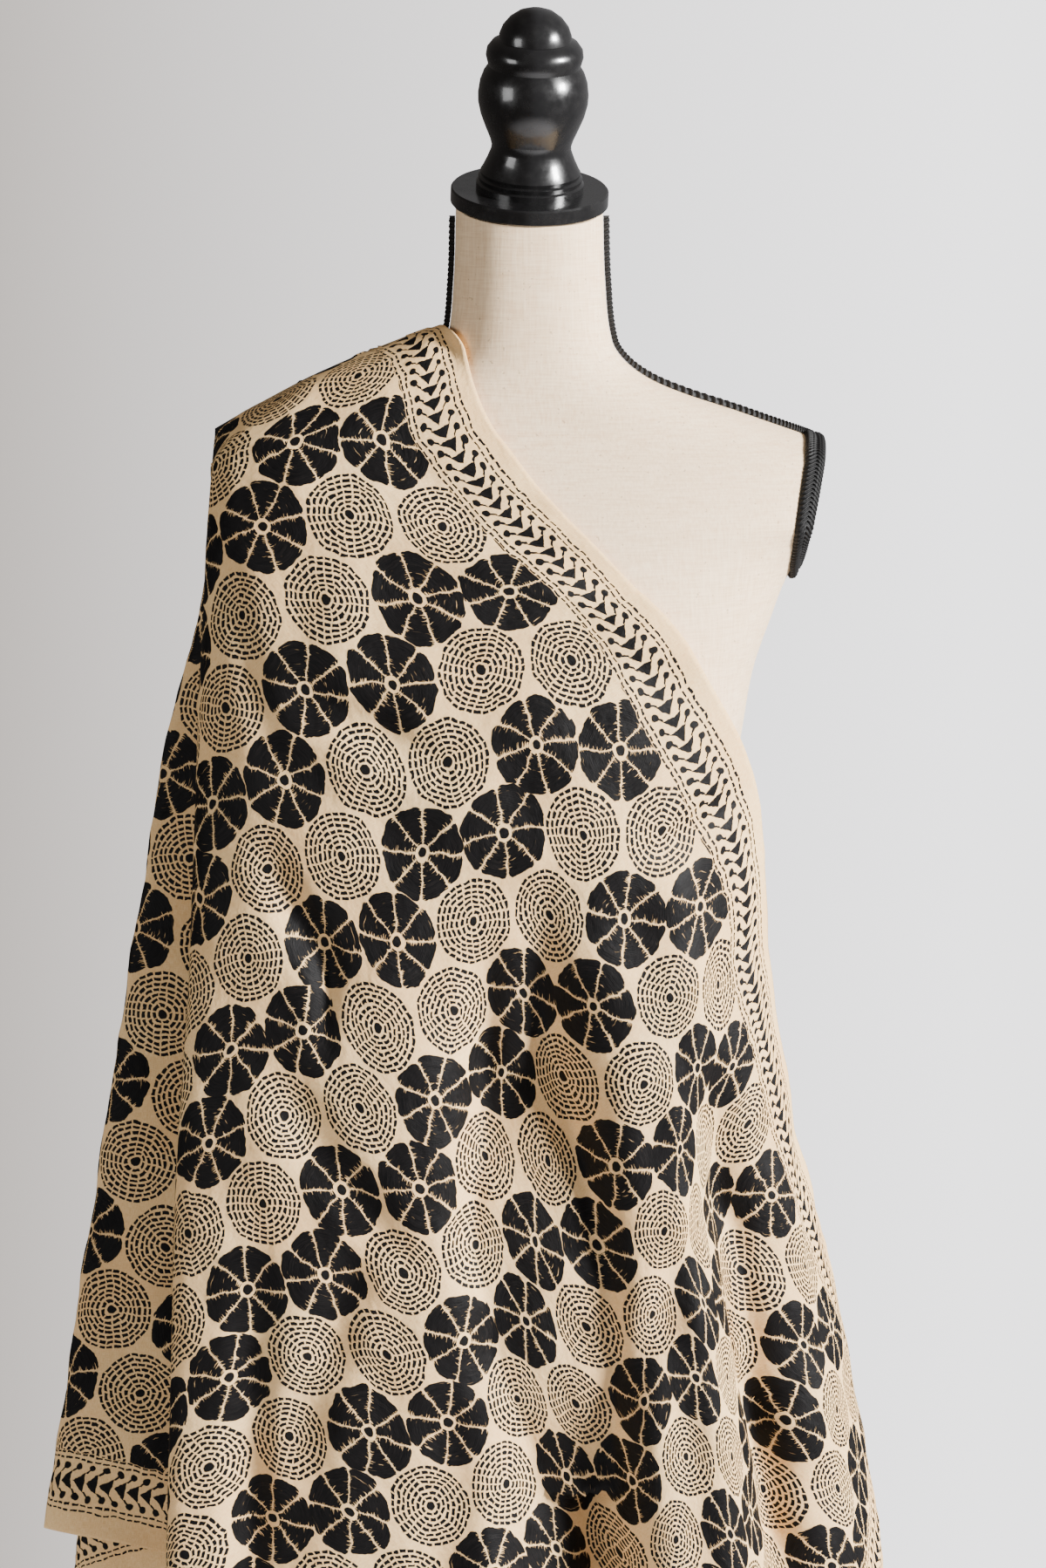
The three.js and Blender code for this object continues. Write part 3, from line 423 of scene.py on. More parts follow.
finish_piece("stand_pole", pole_mesh, iron, ["pole"], 30)

# ---- How the cloth hangs ----
# One rectangle of silk. It hangs from one point, the shoulder tip: round that point the flat cloth
# is read as angles and distances, and each angle goes to the front, the side or the back.
# Places on the flat cloth are across, from the selvedge at the neck, and along, from the shoulder ridge.
CLOTH = {"width": 0.870, "front": 0.978, "back": 1.120, "thick": 0.0009, "cell": 0.005}
TIP = {"across": 0.153, "x": -0.195, "z": 1.448}
NECK_END = {"along": 0.040, "z": 1.512}
FRONT_FOLD_ANGLE = math.radians(46)
BACK_FOLD_ANGLE = math.pi - math.atan((CLOTH["width"] - TIP["across"]) / CLOTH["back"])
RIDGE_ANGLE = math.atan2(-TIP["across"], NECK_END["along"])
BACK_SPREAD = (FRONT_FOLD_ANGLE - RIDGE_ANGLE) / (2 * math.pi + RIDGE_ANGLE - BACK_FOLD_ANGLE)
RIDGE = {"length": 0.140, "bow": 0.005, "round_at_tip": 0.024, "round_at_neck": 0.062, "eases_over": 0.100}
SPREAD_HEIGHT = 1.440
BODY_CLEARANCE = {"skin": 0.004, "braid": 0.0095, "past_plate": 0.007, "braid_from": 0.140,
                  "braid_to": 0.165, "below_plate": 0.020, "below_body": 0.040}
# By height: the left fold's x and y, how far the fall stands out, its right side's x, how square its
# round is, and how much cloth its gathers and small waves take up.
FRONT_FALL = [
    (0.08, 0.246, -0.113, 0.132, 0.262, 0.8, 1.02, 1.7), (0.3, 0.241, -0.113, 0.133, 0.257, 0.8, 1.02, 1.7),
    (0.5, 0.236, -0.113, 0.134, 0.25, 0.8, 1.03, 1.7), (0.702, 0.228, -0.113, 0.135, 0.233, 0.8, 1.05, 1.7),
    (0.761, 0.226, -0.112, 0.135, 0.224, 0.8, 1.07, 1.7),
    (0.89, 0.221, -0.11, 0.135, 0.199, 0.8, 1.12, 1.7),
    (0.996, 0.217, -0.106, 0.135, 0.178, 0.8, 1.16, 1.6),
    (1.116, 0.208, -0.098, 0.134, 0.158, 0.8, 1.22, 1.18),
    (1.168, 0.206, -0.088, 0.132, 0.155, 0.8, 1.2, 0.92),
    (1.22, 0.204, -0.077, 0.13, 0.156, 0.76, 1.14, 0.88),
    (1.285, 0.202, -0.061, 0.125, 0.166, 0.7, 1.07, 0.93), (1.33, 0.2, -0.046, 0.117, 0.182, 0.62, 1.02, 1),
    (1.37, 0.199, -0.03, 0.104, 0.196, 0.56, 1, 1), (1.41, 0.197, -0.014, 0.087, 0.196, 0.52, 1, 1),
    (1.44, 0.195, -0.002, 0.07, 0.196, 0.5, 1, 1), (1.475, 0.195, -0.0004, 0.06, 0.196, 0.5, 1, 1),
    (1.511, 0.195, -0.0004, 0.056, 0.196, 0.5, 1, 1),
]
# The same for the back, without the cloth that gathers take up.
BACK_FALL = [
    (0.08, 0.246, 0.09, 0.134, 0.253, 0.8), (0.3, 0.241, 0.088, 0.133, 0.249, 0.8),
    (0.5, 0.235, 0.086, 0.132, 0.243, 0.8), (0.702, 0.227, 0.08, 0.129, 0.229, 0.8),
    (0.761, 0.224, 0.078, 0.128, 0.217, 0.8), (0.89, 0.219, 0.074, 0.124, 0.19, 0.8),
    (0.996, 0.214, 0.07, 0.118, 0.169, 0.8), (1.116, 0.207, 0.064, 0.111, 0.148, 0.8),
    (1.168, 0.205, 0.06, 0.108, 0.143, 0.8), (1.22, 0.203, 0.05, 0.106, 0.139, 0.78),
    (1.285, 0.201, 0.038, 0.104, 0.146, 0.74), (1.33, 0.2, 0.027, 0.103, 0.158, 0.68),
    (1.37, 0.199, 0.017, 0.099, 0.184, 0.58), (1.41, 0.197, 0.007, 0.09, 0.196, 0.52),
    (1.44, 0.195, 0.0004, 0.079, 0.196, 0.5), (1.475, 0.195, 0.0004, 0.063, 0.196, 0.5),
    (1.511, 0.195, 0.0004, 0.058, 0.196, 0.5),
]
# By distance from the left fold: where the ridge would start on the flat cloth, past its neck end.
RIDGE_START = [
    (0, 0), (0.149, -0.08), (0.2, -0.085), (0.24, -0.086), (0.27, -0.093), (0.3, -0.104), (0.35, -0.114),
    (0.4, -0.114), (0.45, -0.111), (0.485, -0.12), (0.54, -0.152), (0.6, -0.181), (0.66, -0.196),
    (0.8, -0.215),
]
# Folds of the front: top x and z, foot x and z, half width, depth, and the length that it takes to form.
FRONT_FOLDS = [
    (-0.01, 1.245, 0.062, 0.62, 0.078, 0.046, 0.3), (0.034, 1.225, 0.112, 0.62, 0.07, -0.012, 0.3),
    (-0.038, 1.215, -0.008, 0.8, 0.054, 0.01, 0.2), (0.104, 1.12, 0.182, 0.64, 0.04, 0.016, 0.18),
    (0.066, 1.08, 0.118, 0.64, 0.036, 0.009, 0.2), (-0.16, 0.96, -0.172, 0.56, 0.06, 0.012, 0.2),
    (-0.092, 1.01, -0.088, 0.56, 0.09, 0.009, 0.26),
]
WAVES = {"from": 0.050, "to": 0.095, "top": 1.130, "slack": 1.05}
EDGE_SAG = {"drop": 0.026, "from": 0.050, "to": 0.330, "across": 0.110}
BACK_WAVES = {"length": 0.660, "count": 4.5, "depth": 0.012, "from": 1.300, "to": 0.700, "still": 0.330,
              "still_width": 0.110}

# Small creases of the front, which take up no cloth: x and z at both ends, half width, and depth.
SMALL_CREASES = [
    (-0.075, 1.425, 0.11, 1.358, 0.02, 0.006), (-0.085, 1.332, 0.115, 1.3, 0.02, 0.006),
    (-0.06, 1.385, 0.08, 1.338, 0.016, -0.003), (-0.166, 1.212, -0.11, 1.112, 0.017, 0.006),
    (-0.123, 1.15, -0.123, 1.07, 0.012, 0.006), (0.08, 1.212, 0.113, 1.028, 0.026, -0.008),
    (-0.15, 1.3, -0.04, 1.25, 0.022, 0.005), (-0.175, 1.09, -0.06, 0.93, 0.024, 0.006),
    (0.02, 1.1, -0.045, 0.93, 0.022, 0.007), (0.12, 1.0, 0.06, 0.86, 0.022, 0.007),
    (-0.1, 0.98, -0.15, 0.8, 0.024, 0.007), (0.14, 1.24, 0.06, 1.19, 0.018, 0.005),
    (-0.045, 0.9, -0.06, 0.6, 0.03, 0.009), (0.002, 1.2, 0.08, 0.45, 0.022, 0.018),
    (0.036, 1.18, 0.118, 0.45, 0.03, -0.014), (-0.028, 1.16, -0.032, 0.9, 0.017, 0.01),
    (0.112, 1.08, 0.172, 0.72, 0.017, 0.012), (-0.165, 1.0, -0.185, 0.6, 0.022, 0.008),
    (0.15, 0.9, 0.175, 0.68, 0.02, 0.008), (-0.185, 1.38, -0.15, 1.24, 0.016, 0.004),
]
# The unevenness between stitches: a broad wave and a fine one, still this near to the fold lines.
PUCKER = {"size": 0.042, "depth": 0.0028, "fine_size": 0.013, "fine_depth": 0.0005, "still": 0.030}


def small_crease_depth(x, z):
    """How far the small creases set the front back at a place."""
    depth = 0.0
    for start_x, start_z, end_x, end_z, width, deep in SMALL_CREASES:
        way_x, way_z = end_x - start_x, end_z - start_z
        length = math.hypot(way_x, way_z)
        t = ((x - start_x) * way_x + (z - start_z) * way_z) / length ** 2
        away = abs((x - start_x) * way_z - (z - start_z) * way_x) / length / width
        if 0 < t < 1 and away < 1:
            depth += deep * math.sin(math.pi * t) * math.cos(away * math.pi / 2) ** 2
    return depth


def front_fold_depth(x, z):
    """How far the folds of the front set the cloth back at a place. A ridge has less than none."""
    depth = 0.0
    for top_x, top_z, foot_x, foot_z, width, deep, fade in FRONT_FOLDS:
        t = (top_z - z) / (top_z - foot_z)
        away = abs(x - lerp(top_x, foot_x, t)) / width
        if t > 0 and away < 1:
            depth += deep * ease(top_z - z, 0, fade) * math.cos(away * math.pi / 2) ** 2
    return depth


def back_fold_depth(reach, z):
    growth = ease(BACK_WAVES["from"] - z, 0, BACK_WAVES["from"] - BACK_WAVES["to"])
    still = 1 - ease(reach, BACK_WAVES["still"], BACK_WAVES["still"] + BACK_WAVES["still_width"])
    wave = math.sin(reach / BACK_WAVES["length"] * BACK_WAVES["count"] * 2 * math.pi)
    return BACK_WAVES["depth"] * growth * still * wave


def clear_of_body(point):
    """Moves a point of the cloth forward or back, out of the torso and its braid."""
    plate = lerp(ARM_PLATE["foot"].x, ARM_PLATE["top"].x,
                 (point.z - ARM_PLATE["foot"].z) / (ARM_PLATE["top"].z - ARM_PLATE["foot"].z))
    level_with_plate = point.z > ARM_PLATE["foot"].z - BODY_CLEARANCE["below_plate"]
    if level_with_plate and abs(point.x) > plate + BODY_CLEARANCE["past_plate"]:
        return point
    if point.z < BODY[0][0] - BODY_CLEARANCE["below_body"]:
        return point
    side, ahead, behind = read(BODY, point.z)
    near_braid = ease(abs(point.x), BODY_CLEARANCE["braid_from"], BODY_CLEARANCE["braid_to"])
    clearance = lerp(BODY_CLEARANCE["skin"], BODY_CLEARANCE["braid"], near_braid)
    across = abs(point.x) / (side + clearance)
    if across < 1:
        depth = (ahead if point.y < 0 else behind) + clearance
        skin = depth * (1 - across ** BODY_ROUNDNESS) ** (1 / BODY_ROUNDNESS)
        if abs(point.y) < skin:
            point.y = math.copysign(skin, point.y)
    return point


def ridge_height(reach):
    """The ridge rises from the shoulder tip to the neck in a slight bow."""
    t = clamp(reach / RIDGE["length"])
    return lerp(TIP["z"], NECK_END["z"], t) + RIDGE["bow"] * math.sin(math.pi * t)


class Fall:
    """A stretch that turns round the shoulder tip and hangs from the ridge. Its reach is the distance
    round it from its left fold, and side is -1 for the front and 1 for the back. Past its right side it
    wraps round under or over the other fall, whose table gives the depth there."""

    LEVEL = 0.010
    TURN_END = math.pi + 2
    TURN_STEPS = 160
    TURN_PROBE = 0.01
    COLUMN = 0.005
    DROP_STEPS = 120
    LOWEST = 0.060
    PROBE = 0.001

    def __init__(self, side, table, wrap_table, wrap_gap):
        self.side, self.table, self.wrap_table, self.wrap_gap = side, table, wrap_table, wrap_gap
        self.arcs, self.columns = {}, {}

    def section(self, size, wrap_depth, turn):
        """The level section of the fall at an angle round it, without its folds."""
        left, fold, depth, right, bow = size[:5]
        reach = math.cos(turn)
        stands = self.side * (depth if turn < math.pi else -wrap_depth)
        return (-reach * (left if reach > 0 else right),
                lerp(fold if reach > 0 else 0, stands, abs(math.sin(turn)) ** bow))

    def wrap_depth(self, z):
        return read(self.wrap_table, z)[2] + self.wrap_gap

    def folded_section(self, size, wrap, turn, z):
        x, y = self.section(size, wrap, turn)
        if self.side > 0:
            return x, y
        ahead = self.section(size, wrap, turn + self.TURN_PROBE)
        behind = self.section(size, wrap, max(turn - self.TURN_PROBE, 0))
        way = Vector((ahead[0] - behind[0], ahead[1] - behind[1])).normalized()
        depth = front_fold_depth(x, z) if y < 0 else 0
        return x + way.y * depth, y + way.x * depth

    def arc(self, level):
        """Lengths of cloth round the fall at a level, for each step of its angle."""
        if level not in self.arcs:
            z = level * self.LEVEL
            size, wrap = read(self.table, z), self.wrap_depth(z)
            lengths = [0.0]
            last = self.folded_section(size, wrap, 0, z)
            for step in range(1, self.TURN_STEPS + 1):
                turn = self.TURN_END * step / self.TURN_STEPS
                here = self.folded_section(size, wrap, turn, z)
                slack = 1.0
                if self.side < 0 and turn < math.pi:
                    slack = size[5] * lerp(1, size[6], ease(here[0], WAVES["from"], WAVES["to"]))
                lengths.append(lengths[-1] + slack * math.hypot(here[0] - last[0], here[1] - last[1]))
                last = here
            self.arcs[level] = lengths
        return self.arcs[level]

    def turn_on(self, level, reach):
        lengths = self.arc(level)
        n = clamp(bisect_left(lengths, reach), 1, self.TURN_STEPS)
        part = (reach - lengths[n - 1]) / (lengths[n] - lengths[n - 1])
        return self.TURN_END * (n - 1 + part) / self.TURN_STEPS

    def turn_at(self, reach, z):
        height = min(z, SPREAD_HEIGHT) / self.LEVEL
        low = math.floor(height)
        return lerp(self.turn_on(low, reach), self.turn_on(low + 1, reach), height - low)

    def hang(self, reach, z, turn=None):
        """The sheet at a reach and a height. On the ridge it lies straight from the tip to the neck."""
        turn = self.turn_at(reach, z) if turn is None else turn
        rounding = lerp(RIDGE["round_at_tip"], RIDGE["round_at_neck"], clamp(reach / RIDGE["length"]))
        drop = clamp((ridge_height(reach) - z) / rounding)
        spread = read(self.table, min(z, SPREAD_HEIGHT))
        wrap = self.wrap_depth(z) if turn > math.pi else 0
        straight = (1 - drop) * (1 - ease(reach, RIDGE["length"], RIDGE["length"] + RIDGE["eases_over"]))
        x = lerp(self.section(spread, wrap, turn)[0], TIP["x"] + reach, straight)
        if straight > 0:
            turn = math.acos(clamp(-x / (spread[0] if x < 0 else spread[3]), -1, 1))
        y = self.section(read(self.table, z), wrap, turn)[1] * math.sqrt(1 - (1 - drop) ** 2)
        return Vector((x, y, z))

    def column(self, index):
        """Heights down one column of cloth, by the length from where the ridge would start."""
        if index not in self.columns:
            reach = index * self.COLUMN
            top = ridge_height(reach)
            lengths, heights = [read(RIDGE_START, reach)[0]], [top]
            for step in range(1, self.DROP_STEPS + 1):
                z = top - (top - self.LOWEST) * (step / self.DROP_STEPS) ** 2
                turn = self.turn_at(reach, (heights[-1] + z) / 2)
                last, here = self.hang(reach, heights[-1], turn), self.hang(reach, z, turn)
                slack = 1.0
                if self.side < 0 and z < WAVES["top"]:
                    slack = lerp(1, WAVES["slack"], ease(here.x, WAVES["from"], WAVES["to"]))
                lengths.append(lengths[-1] + slack * (here - last).length)
                heights.append(z)
            self.columns[index] = lengths, heights
        return self.columns[index]

    def height_in(self, index, down):
        lengths, heights = self.column(index)
        n = clamp(bisect_left(lengths, down), 1, self.DROP_STEPS)
        part = clamp((down - lengths[n - 1]) / (lengths[n] - lengths[n - 1]))
        return lerp(heights[n - 1], heights[n], part)

    def point(self, reach, down):
        """Where a place on the fall is, by its reach and its length of cloth below the ridge."""
        reach = max(reach, 0.0)
        index = math.floor(reach / self.COLUMN)
        z = lerp(self.height_in(index, down), self.height_in(index + 1, down), reach / self.COLUMN - index)
        here = self.hang(reach, z)
        ahead, behind = self.hang(reach + self.PROBE, z), self.hang(max(reach - self.PROBE, 0), z)
        inward = Vector((behind.y - ahead.y, ahead.x - behind.x, 0)).normalized() * -self.side
        if self.side > 0:
            depth = back_fold_depth(reach, z)
        else:
            depth = front_fold_depth(here.x, z) + small_crease_depth(here.x, z) if here.y < 0 else 0
        return clear_of_body(here + inward * depth)


front = Fall(-1, FRONT_FALL, BACK_FALL, 0.007)
back = Fall(1, BACK_FALL, FRONT_FALL, -0.026)


def round_tip(across, along):
    """The angle and distance of a place on the flat cloth, round the shoulder tip."""
    return math.atan2(across - TIP["across"], along), math.hypot(across - TIP["across"], along)


def front_place(across, along):
    angle, distance = round_tip(across, along)
    turned = FRONT_FOLD_ANGLE - angle
    t = clamp((along - EDGE_SAG["from"]) / (EDGE_SAG["to"] - EDGE_SAG["from"]))
    sag = EDGE_SAG["drop"] * math.sin(math.pi * t) ** 2 * clamp(1 - across / EDGE_SAG["across"])
    return front.point(distance * math.sin(turned), distance * math.cos(turned) + sag)


def back_place(across, along):
    angle, distance = round_tip(across, along)
    turned = (angle % (2 * math.pi) - BACK_FOLD_ANGLE) * BACK_SPREAD
    return back.point(distance * math.sin(turned), distance * math.cos(turned))


# ---- Silk with kantha stitching ----
# Natural tussar silk, stitched all over in black: rings of running stitch and eight-petalled wheels
# in satin stitch, in a lattice of pairs, with a band of arrowheads along every edge.
# The pattern is drawn in millimetres of the flat cloth. Two values are where a soft edge starts and ends.
LATTICE = {"across": 49.6, "rise": 28.65, "along": 57.3, "first_across": 220.8, "first_along": 320.0}
BY_HAND = {"shake": 2.2, "tremble": 0.35, "motif": 0.8}
RING = {"first": 5.6, "pitch": 3.35, "count": 7, "stitch": 5.2, "dash": 0.8, "half_thread": 0.98,
        "dot": 3.1, "twist": 0.37}
WHEEL = {"petals": 8, "radius": 28.9, "hub_outer": 5.3, "hub_inner": 3.2, "spoke": 0.05, "flare": 0.012,
         "ragged": 0.7, "hair": 3.6, "squareness": 9.0, "corner": 3.6, "uneven": 2.6}
BAND = {"near_shift": 4.0, "lines": (16.5, 20.6, 50.4, 54.0), "half_thread": (0.78, 0.6), "stitch": 5.1,
        "dash": (0.4, 0.36), "field": 55.0, "middle": 35.5, "pitch": 9.0}
ARROW = {"length": 7.6, "spread": 0.86, "arm_base": 5.0, "arm_slope": -0.85, "arm": (1.0, 0.8),
         "arm_from": (5.6, 5.9), "arm_to": (9.8, 9.5), "dot_off": 10.2, "dot_at": 4.4, "dot": (2.5, 2.2)}

kantha, shader, node = new_material("kantha_silk", 0.78)


def calc(operation, *values):
    return node("ShaderNodeMath", dict(enumerate(values)), operation=operation).outputs[0]


def plus(a, b):
    return calc("ADD", a, b)


def minus(a, b):
    return calc("SUBTRACT", a, b)


def times(a, b):
    return calc("MULTIPLY", a, b)


def size_of(value):
    return calc("ABSOLUTE", value)


def length_of(a, b):
    return calc("SQRT", plus(times(a, a), times(b, b)))


def pair(x, y, z=0.0):
    return node("ShaderNodeCombineXYZ", {0: x, 1: y, 2: z}).outputs[0]


def parts(vector):
    return node("ShaderNodeSeparateXYZ", {0: vector}).outputs


def stretched(vector, x, y, z):
    return node("ShaderNodeVectorMath", {0: vector, 1: (x, y, z)}, operation="MULTIPLY").outputs[0]


def wander(value, reach):
    """A noise value of about 0.5, made a shift of up to reach either way."""
    return times(minus(value, 0.5), reach * 2)


flat = node("ShaderNodeUVMap", uv_map="flat").outputs[0]
flat_mm = stretched(flat, 1000, 1000, 0)
spot = parts(flat_mm)
shake = parts(noise(flat_mm, 0.09, 1.0, "Color"))
tremble = parts(noise(flat_mm, 0.55, 0.0, "Color"))
across, along = (
    plus(plus(spot[way], wander(shake[way], BY_HAND["shake"])),
         wander(tremble[way], BY_HAND["tremble"])) for way in (0, 1))

# The nearest motif: of the two columns of motifs beside the place, the one whose motif is closer.
column = calc("DIVIDE", minus(LATTICE["first_across"], across), LATTICE["across"])
choices = []
for step in (0, 1):
    index = plus(calc("FLOOR", column), float(step))
    from_start = minus(along, calc("MULTIPLY_ADD", index, LATTICE["rise"], LATTICE["first_along"]))
    row = calc("ROUND", calc("DIVIDE", from_start, LATTICE["along"]))
    off_across = times(minus(index, column), LATTICE["across"])
    off_along = minus(from_start, times(row, LATTICE["along"]))
    choices.append((pair(off_across, off_along), pair(index, row),
                    plus(times(off_across, off_across), times(off_along, off_along))))
closer = calc("LESS_THAN", choices[1][2], choices[0][2])
offset = node("ShaderNodeMix", {0: closer, 4: choices[0][0], 5: choices[1][0]}, data_type="VECTOR").outputs[1]
motif = node("ShaderNodeMix", {0: closer, 4: choices[0][1], 5: choices[1][1]}, data_type="VECTOR").outputs[1]
chance = parts(node("ShaderNodeTexWhiteNoise", {"Vector": motif}, noise_dimensions="3D").outputs["Color"])
offset, motif = parts(offset), parts(motif)
off_across, off_along = (plus(offset[way], wander(chance[way], BY_HAND["motif"])) for way in (0, 1))
radius = length_of(off_across, off_along)
turn = plus(calc("DIVIDE", calc("ARCTAN2", off_along, off_across), 2 * math.pi), chance[2])
kind = calc("FLOORED_MODULO", calc("MULTIPLY_ADD", motif[1], 2.0, motif[0]), 4.0)
is_wheel = calc("LESS_THAN", kind, 1.5)

# Rings of running stitch round a dot.
ring_at = calc("DIVIDE", minus(radius, RING["first"]), RING["pitch"])
ring = calc("MINIMUM", calc("MAXIMUM", calc("ROUND", ring_at), 0.0), RING["count"] - 1.0)
ring_radius = calc("MULTIPLY_ADD", ring, RING["pitch"], RING["first"])
off_ring = size_of(minus(radius, ring_radius))
stitches = calc("ROUND", times(ring_radius, 2 * math.pi / RING["stitch"]))
in_stitch = calc("FRACT", calc("MULTIPLY_ADD", turn, stitches, times(ring, RING["twist"])))
past_middle = size_of(minus(in_stitch, 0.5))
on_thread = fade(off_ring, RING["half_thread"] + 0.05, RING["half_thread"] - 0.1)
on_dash = fade(past_middle, RING["dash"] / 2 + 0.03, RING["dash"] / 2 - 0.03)
rings = calc("MAXIMUM", times(on_thread, on_dash), fade(radius, RING["dot"] + 0.15, RING["dot"] - 0.15))

# Petals of satin stitch, parted by spokes of bare cloth with ragged sides.
petal_turn = times(turn, float(WHEEL["petals"]))
petal = calc("FLOOR", petal_turn)
from_petal = size_of(minus(calc("FRACT", petal_turn), 0.5))
to_spoke = times(times(minus(0.5, from_petal), 2 * math.pi / WHEEL["petals"]), radius)
petal_key = calc("MULTIPLY_ADD", petal, 7.31, times(chance[0], 90.0))
ragged = fade(noise(pair(times(radius, 1.7), petal_key), 1.0, 0.0), 0.35, 0.75)
half_key = calc("MULTIPLY_ADD", calc("GREATER_THAN", calc("FRACT", petal_turn), 0.5), 3.7, petal_key)
hairs = fade(noise(pair(times(radius, 2.1), half_key, 4.0), 1.0, 0.0), 0.6, 0.86)
spoke = plus(calc("MULTIPLY_ADD", radius, WHEEL["flare"], WHEEL["spoke"]),
             calc("MULTIPLY_ADD", ragged, WHEEL["ragged"], times(hairs, WHEEL["hair"])))
in_petal = fade(minus(to_spoke, spoke), -0.08, 0.12)
rounding = times(calc("POWER", times(from_petal, 2.0), WHEEL["squareness"]), WHEEL["corner"])
uneven = wander(noise(pair(petal_key, times(turn, 9.0)), 1.0, 0.0), WHEEL["uneven"])
rim = minus(plus(uneven, WHEEL["radius"]), rounding)
in_rim = fade(minus(rim, radius), -0.1, 0.15)
out_of_hub = fade(radius, WHEEL["hub_outer"] - 0.1, WHEEL["hub_outer"] + 0.15)
sliver = noise(pair(times(radius, 1.5), times(turn, 14.0), petal_key), 1.0, 0.0)
petals = times(times(in_petal, in_rim), times(out_of_hub, fade(sliver, 0.9, 0.8)))
wheels = calc("MAXIMUM", petals, fade(radius, WHEEL["hub_inner"] + 0.1, WHEEL["hub_inner"] - 0.15))
motifs = node("ShaderNodeMix", {0: is_wheel, 2: rings, 3: wheels}).outputs[0]

# The band along every edge: arrowheads with two dotted arms, between double lines of running stitch.
width_mm, front_mm, back_mm = (CLOTH[key] * 1000 for key in ("width", "front", "back"))
edges = [
    (plus(across, BAND["near_shift"]), along),
    (minus(width_mm, across), times(along, -1.0)),
    (minus(front_mm, along), across),
    (plus(along, back_mm), times(across, -1.0)),
]
from_edge, run = edges[0]
for next_edge, next_run in edges[1:]:
    nearer = calc("LESS_THAN", next_edge, from_edge)
    run = node("ShaderNodeMix", {0: nearer, 2: run, 3: next_run}).outputs[0]
    from_edge = calc("MINIMUM", from_edge, next_edge)
line_stitch = size_of(minus(calc("FRACT", calc("DIVIDE", run, BAND["stitch"])), 0.5))
lines = None
for place_mm in BAND["lines"]:
    line = fade(size_of(minus(from_edge, place_mm)), *BAND["half_thread"])
    lines = line if lines is None else calc("MAXIMUM", lines, line)
lines = times(lines, fade(line_stitch, *BAND["dash"]))
off_middle = size_of(minus(from_edge, BAND["middle"]))
in_arrow = times(calc("FRACT", calc("DIVIDE", run, BAND["pitch"])), BAND["pitch"])
head = fade(minus(times(minus(ARROW["length"], in_arrow), ARROW["spread"]), off_middle), -0.15, 0.2)
arm_line = calc("MULTIPLY_ADD", minus(off_middle, ARROW["arm_base"]), ARROW["arm_slope"], BAND["pitch"])
on_arm = fade(size_of(minus(in_arrow, arm_line)), *ARROW["arm"])
arms = times(on_arm, times(fade(off_middle, *ARROW["arm_from"]), fade(off_middle, *ARROW["arm_to"])))
dots = fade(length_of(minus(off_middle, ARROW["dot_off"]), minus(in_arrow, ARROW["dot_at"])), *ARROW["dot"])
band = calc("MAXIMUM", lines, calc("MAXIMUM", head, calc("MAXIMUM", arms, dots)))
in_field = fade(from_edge, BAND["field"] - 0.1, BAND["field"] + 0.2)
ink = node("ShaderNodeMix", {0: in_field, 2: band, 3: motifs}).outputs[0]

# Silk: uneven golden yarns both ways and soft clouds of tone. Thread: black, with a painted sheen that makes
# it lighter on its ridges.
weft, warp = (noise(stretched(flat_mm, x, y, 1), 1.0, 3.0) for x, y in ((0.25, 3.2), (3.2, 0.25)))
yarn = plus(times(weft, 0.6), times(warp, 0.4))
cloud = times(fade(noise(flat_mm, 0.012, 3.0), 0.35, 0.75), 0.4)
silk = mixed(node, fade(yarn, 0.36, 0.64), linear(226, 180, 122), linear(253, 220, 164))
silk = mixed(node, cloud, silk, linear(228, 170, 108))
satin = noise(pair(times(radius, 2.6), times(turn, 9.0)), 1.0, 1.0)
# Painted sheen: the black thread is lighter along the raised ridges of its satin stitches.
thread_with_painted_sheen = mixed(node, fade(satin, 0.35, 0.8), linear(5, 5, 6), linear(25, 22, 21))
stitched = times(ink, plus(0.55, times(satin, 0.6)))
puckered = plus(plus(stitched, times(yarn, 0.35)), times(noise(flat_mm, 0.16, 2.0), 1.6))
link_all(shader, {
    "Base Color": mixed(node, ink, silk, thread_with_painted_sheen), "Normal": bumped(node, puckered, 0.6, 0.0006),
    "Roughness": node("ShaderNodeMix", {0: ink, 2: 0.8, 3: 0.58}).outputs[0]})
shader.inputs["Specular IOR Level"].default_value = 0.12


def cut_cloth(cuts):
    """The flat cloth as a grid of cells with a corner on the shoulder tip, cut to its edges and along
    more lines. A cut is a place on its line and the way that is cut off."""
    cell, tip = CLOTH["cell"], TIP["across"]
    left, right = math.ceil(tip / cell), math.ceil((CLOTH["width"] - tip) / cell)
    ahead, behind = math.ceil(CLOTH["front"] / cell), math.ceil(CLOTH["back"] / cell)
    sheet = bmesh.new()
    bmesh.ops.create_grid(sheet, x_segments=left + right, y_segments=ahead + behind, size=0.5, matrix=(
        Matrix.Translation((tip + (right - left) * cell / 2, (ahead - behind) * cell / 2, 0))
        @ Matrix.Diagonal(((left + right) * cell, (ahead + behind) * cell, 1, 1))))
    sides = [((0, 0), (-1, 0)), ((CLOTH["width"], 0), (1, 0)), ((0, CLOTH["front"]), (0, 1)),
             ((0, -CLOTH["back"]), (0, -1))]
    for (x, y), (way_x, way_y) in sides + cuts:
        bmesh.ops.bisect_plane(sheet, geom=sheet.verts[:] + sheet.edges[:] + sheet.faces[:], dist=1e-7,
                               plane_co=(x, y, 0), plane_no=(way_x, way_y, 0), clear_outer=True)
    layer = sheet.loops.layers.uv.new("flat")
    for face in sheet.faces:
        for loop in face.loops:
            loop[layer].uv = loop.vert.co.xy
    return sheet


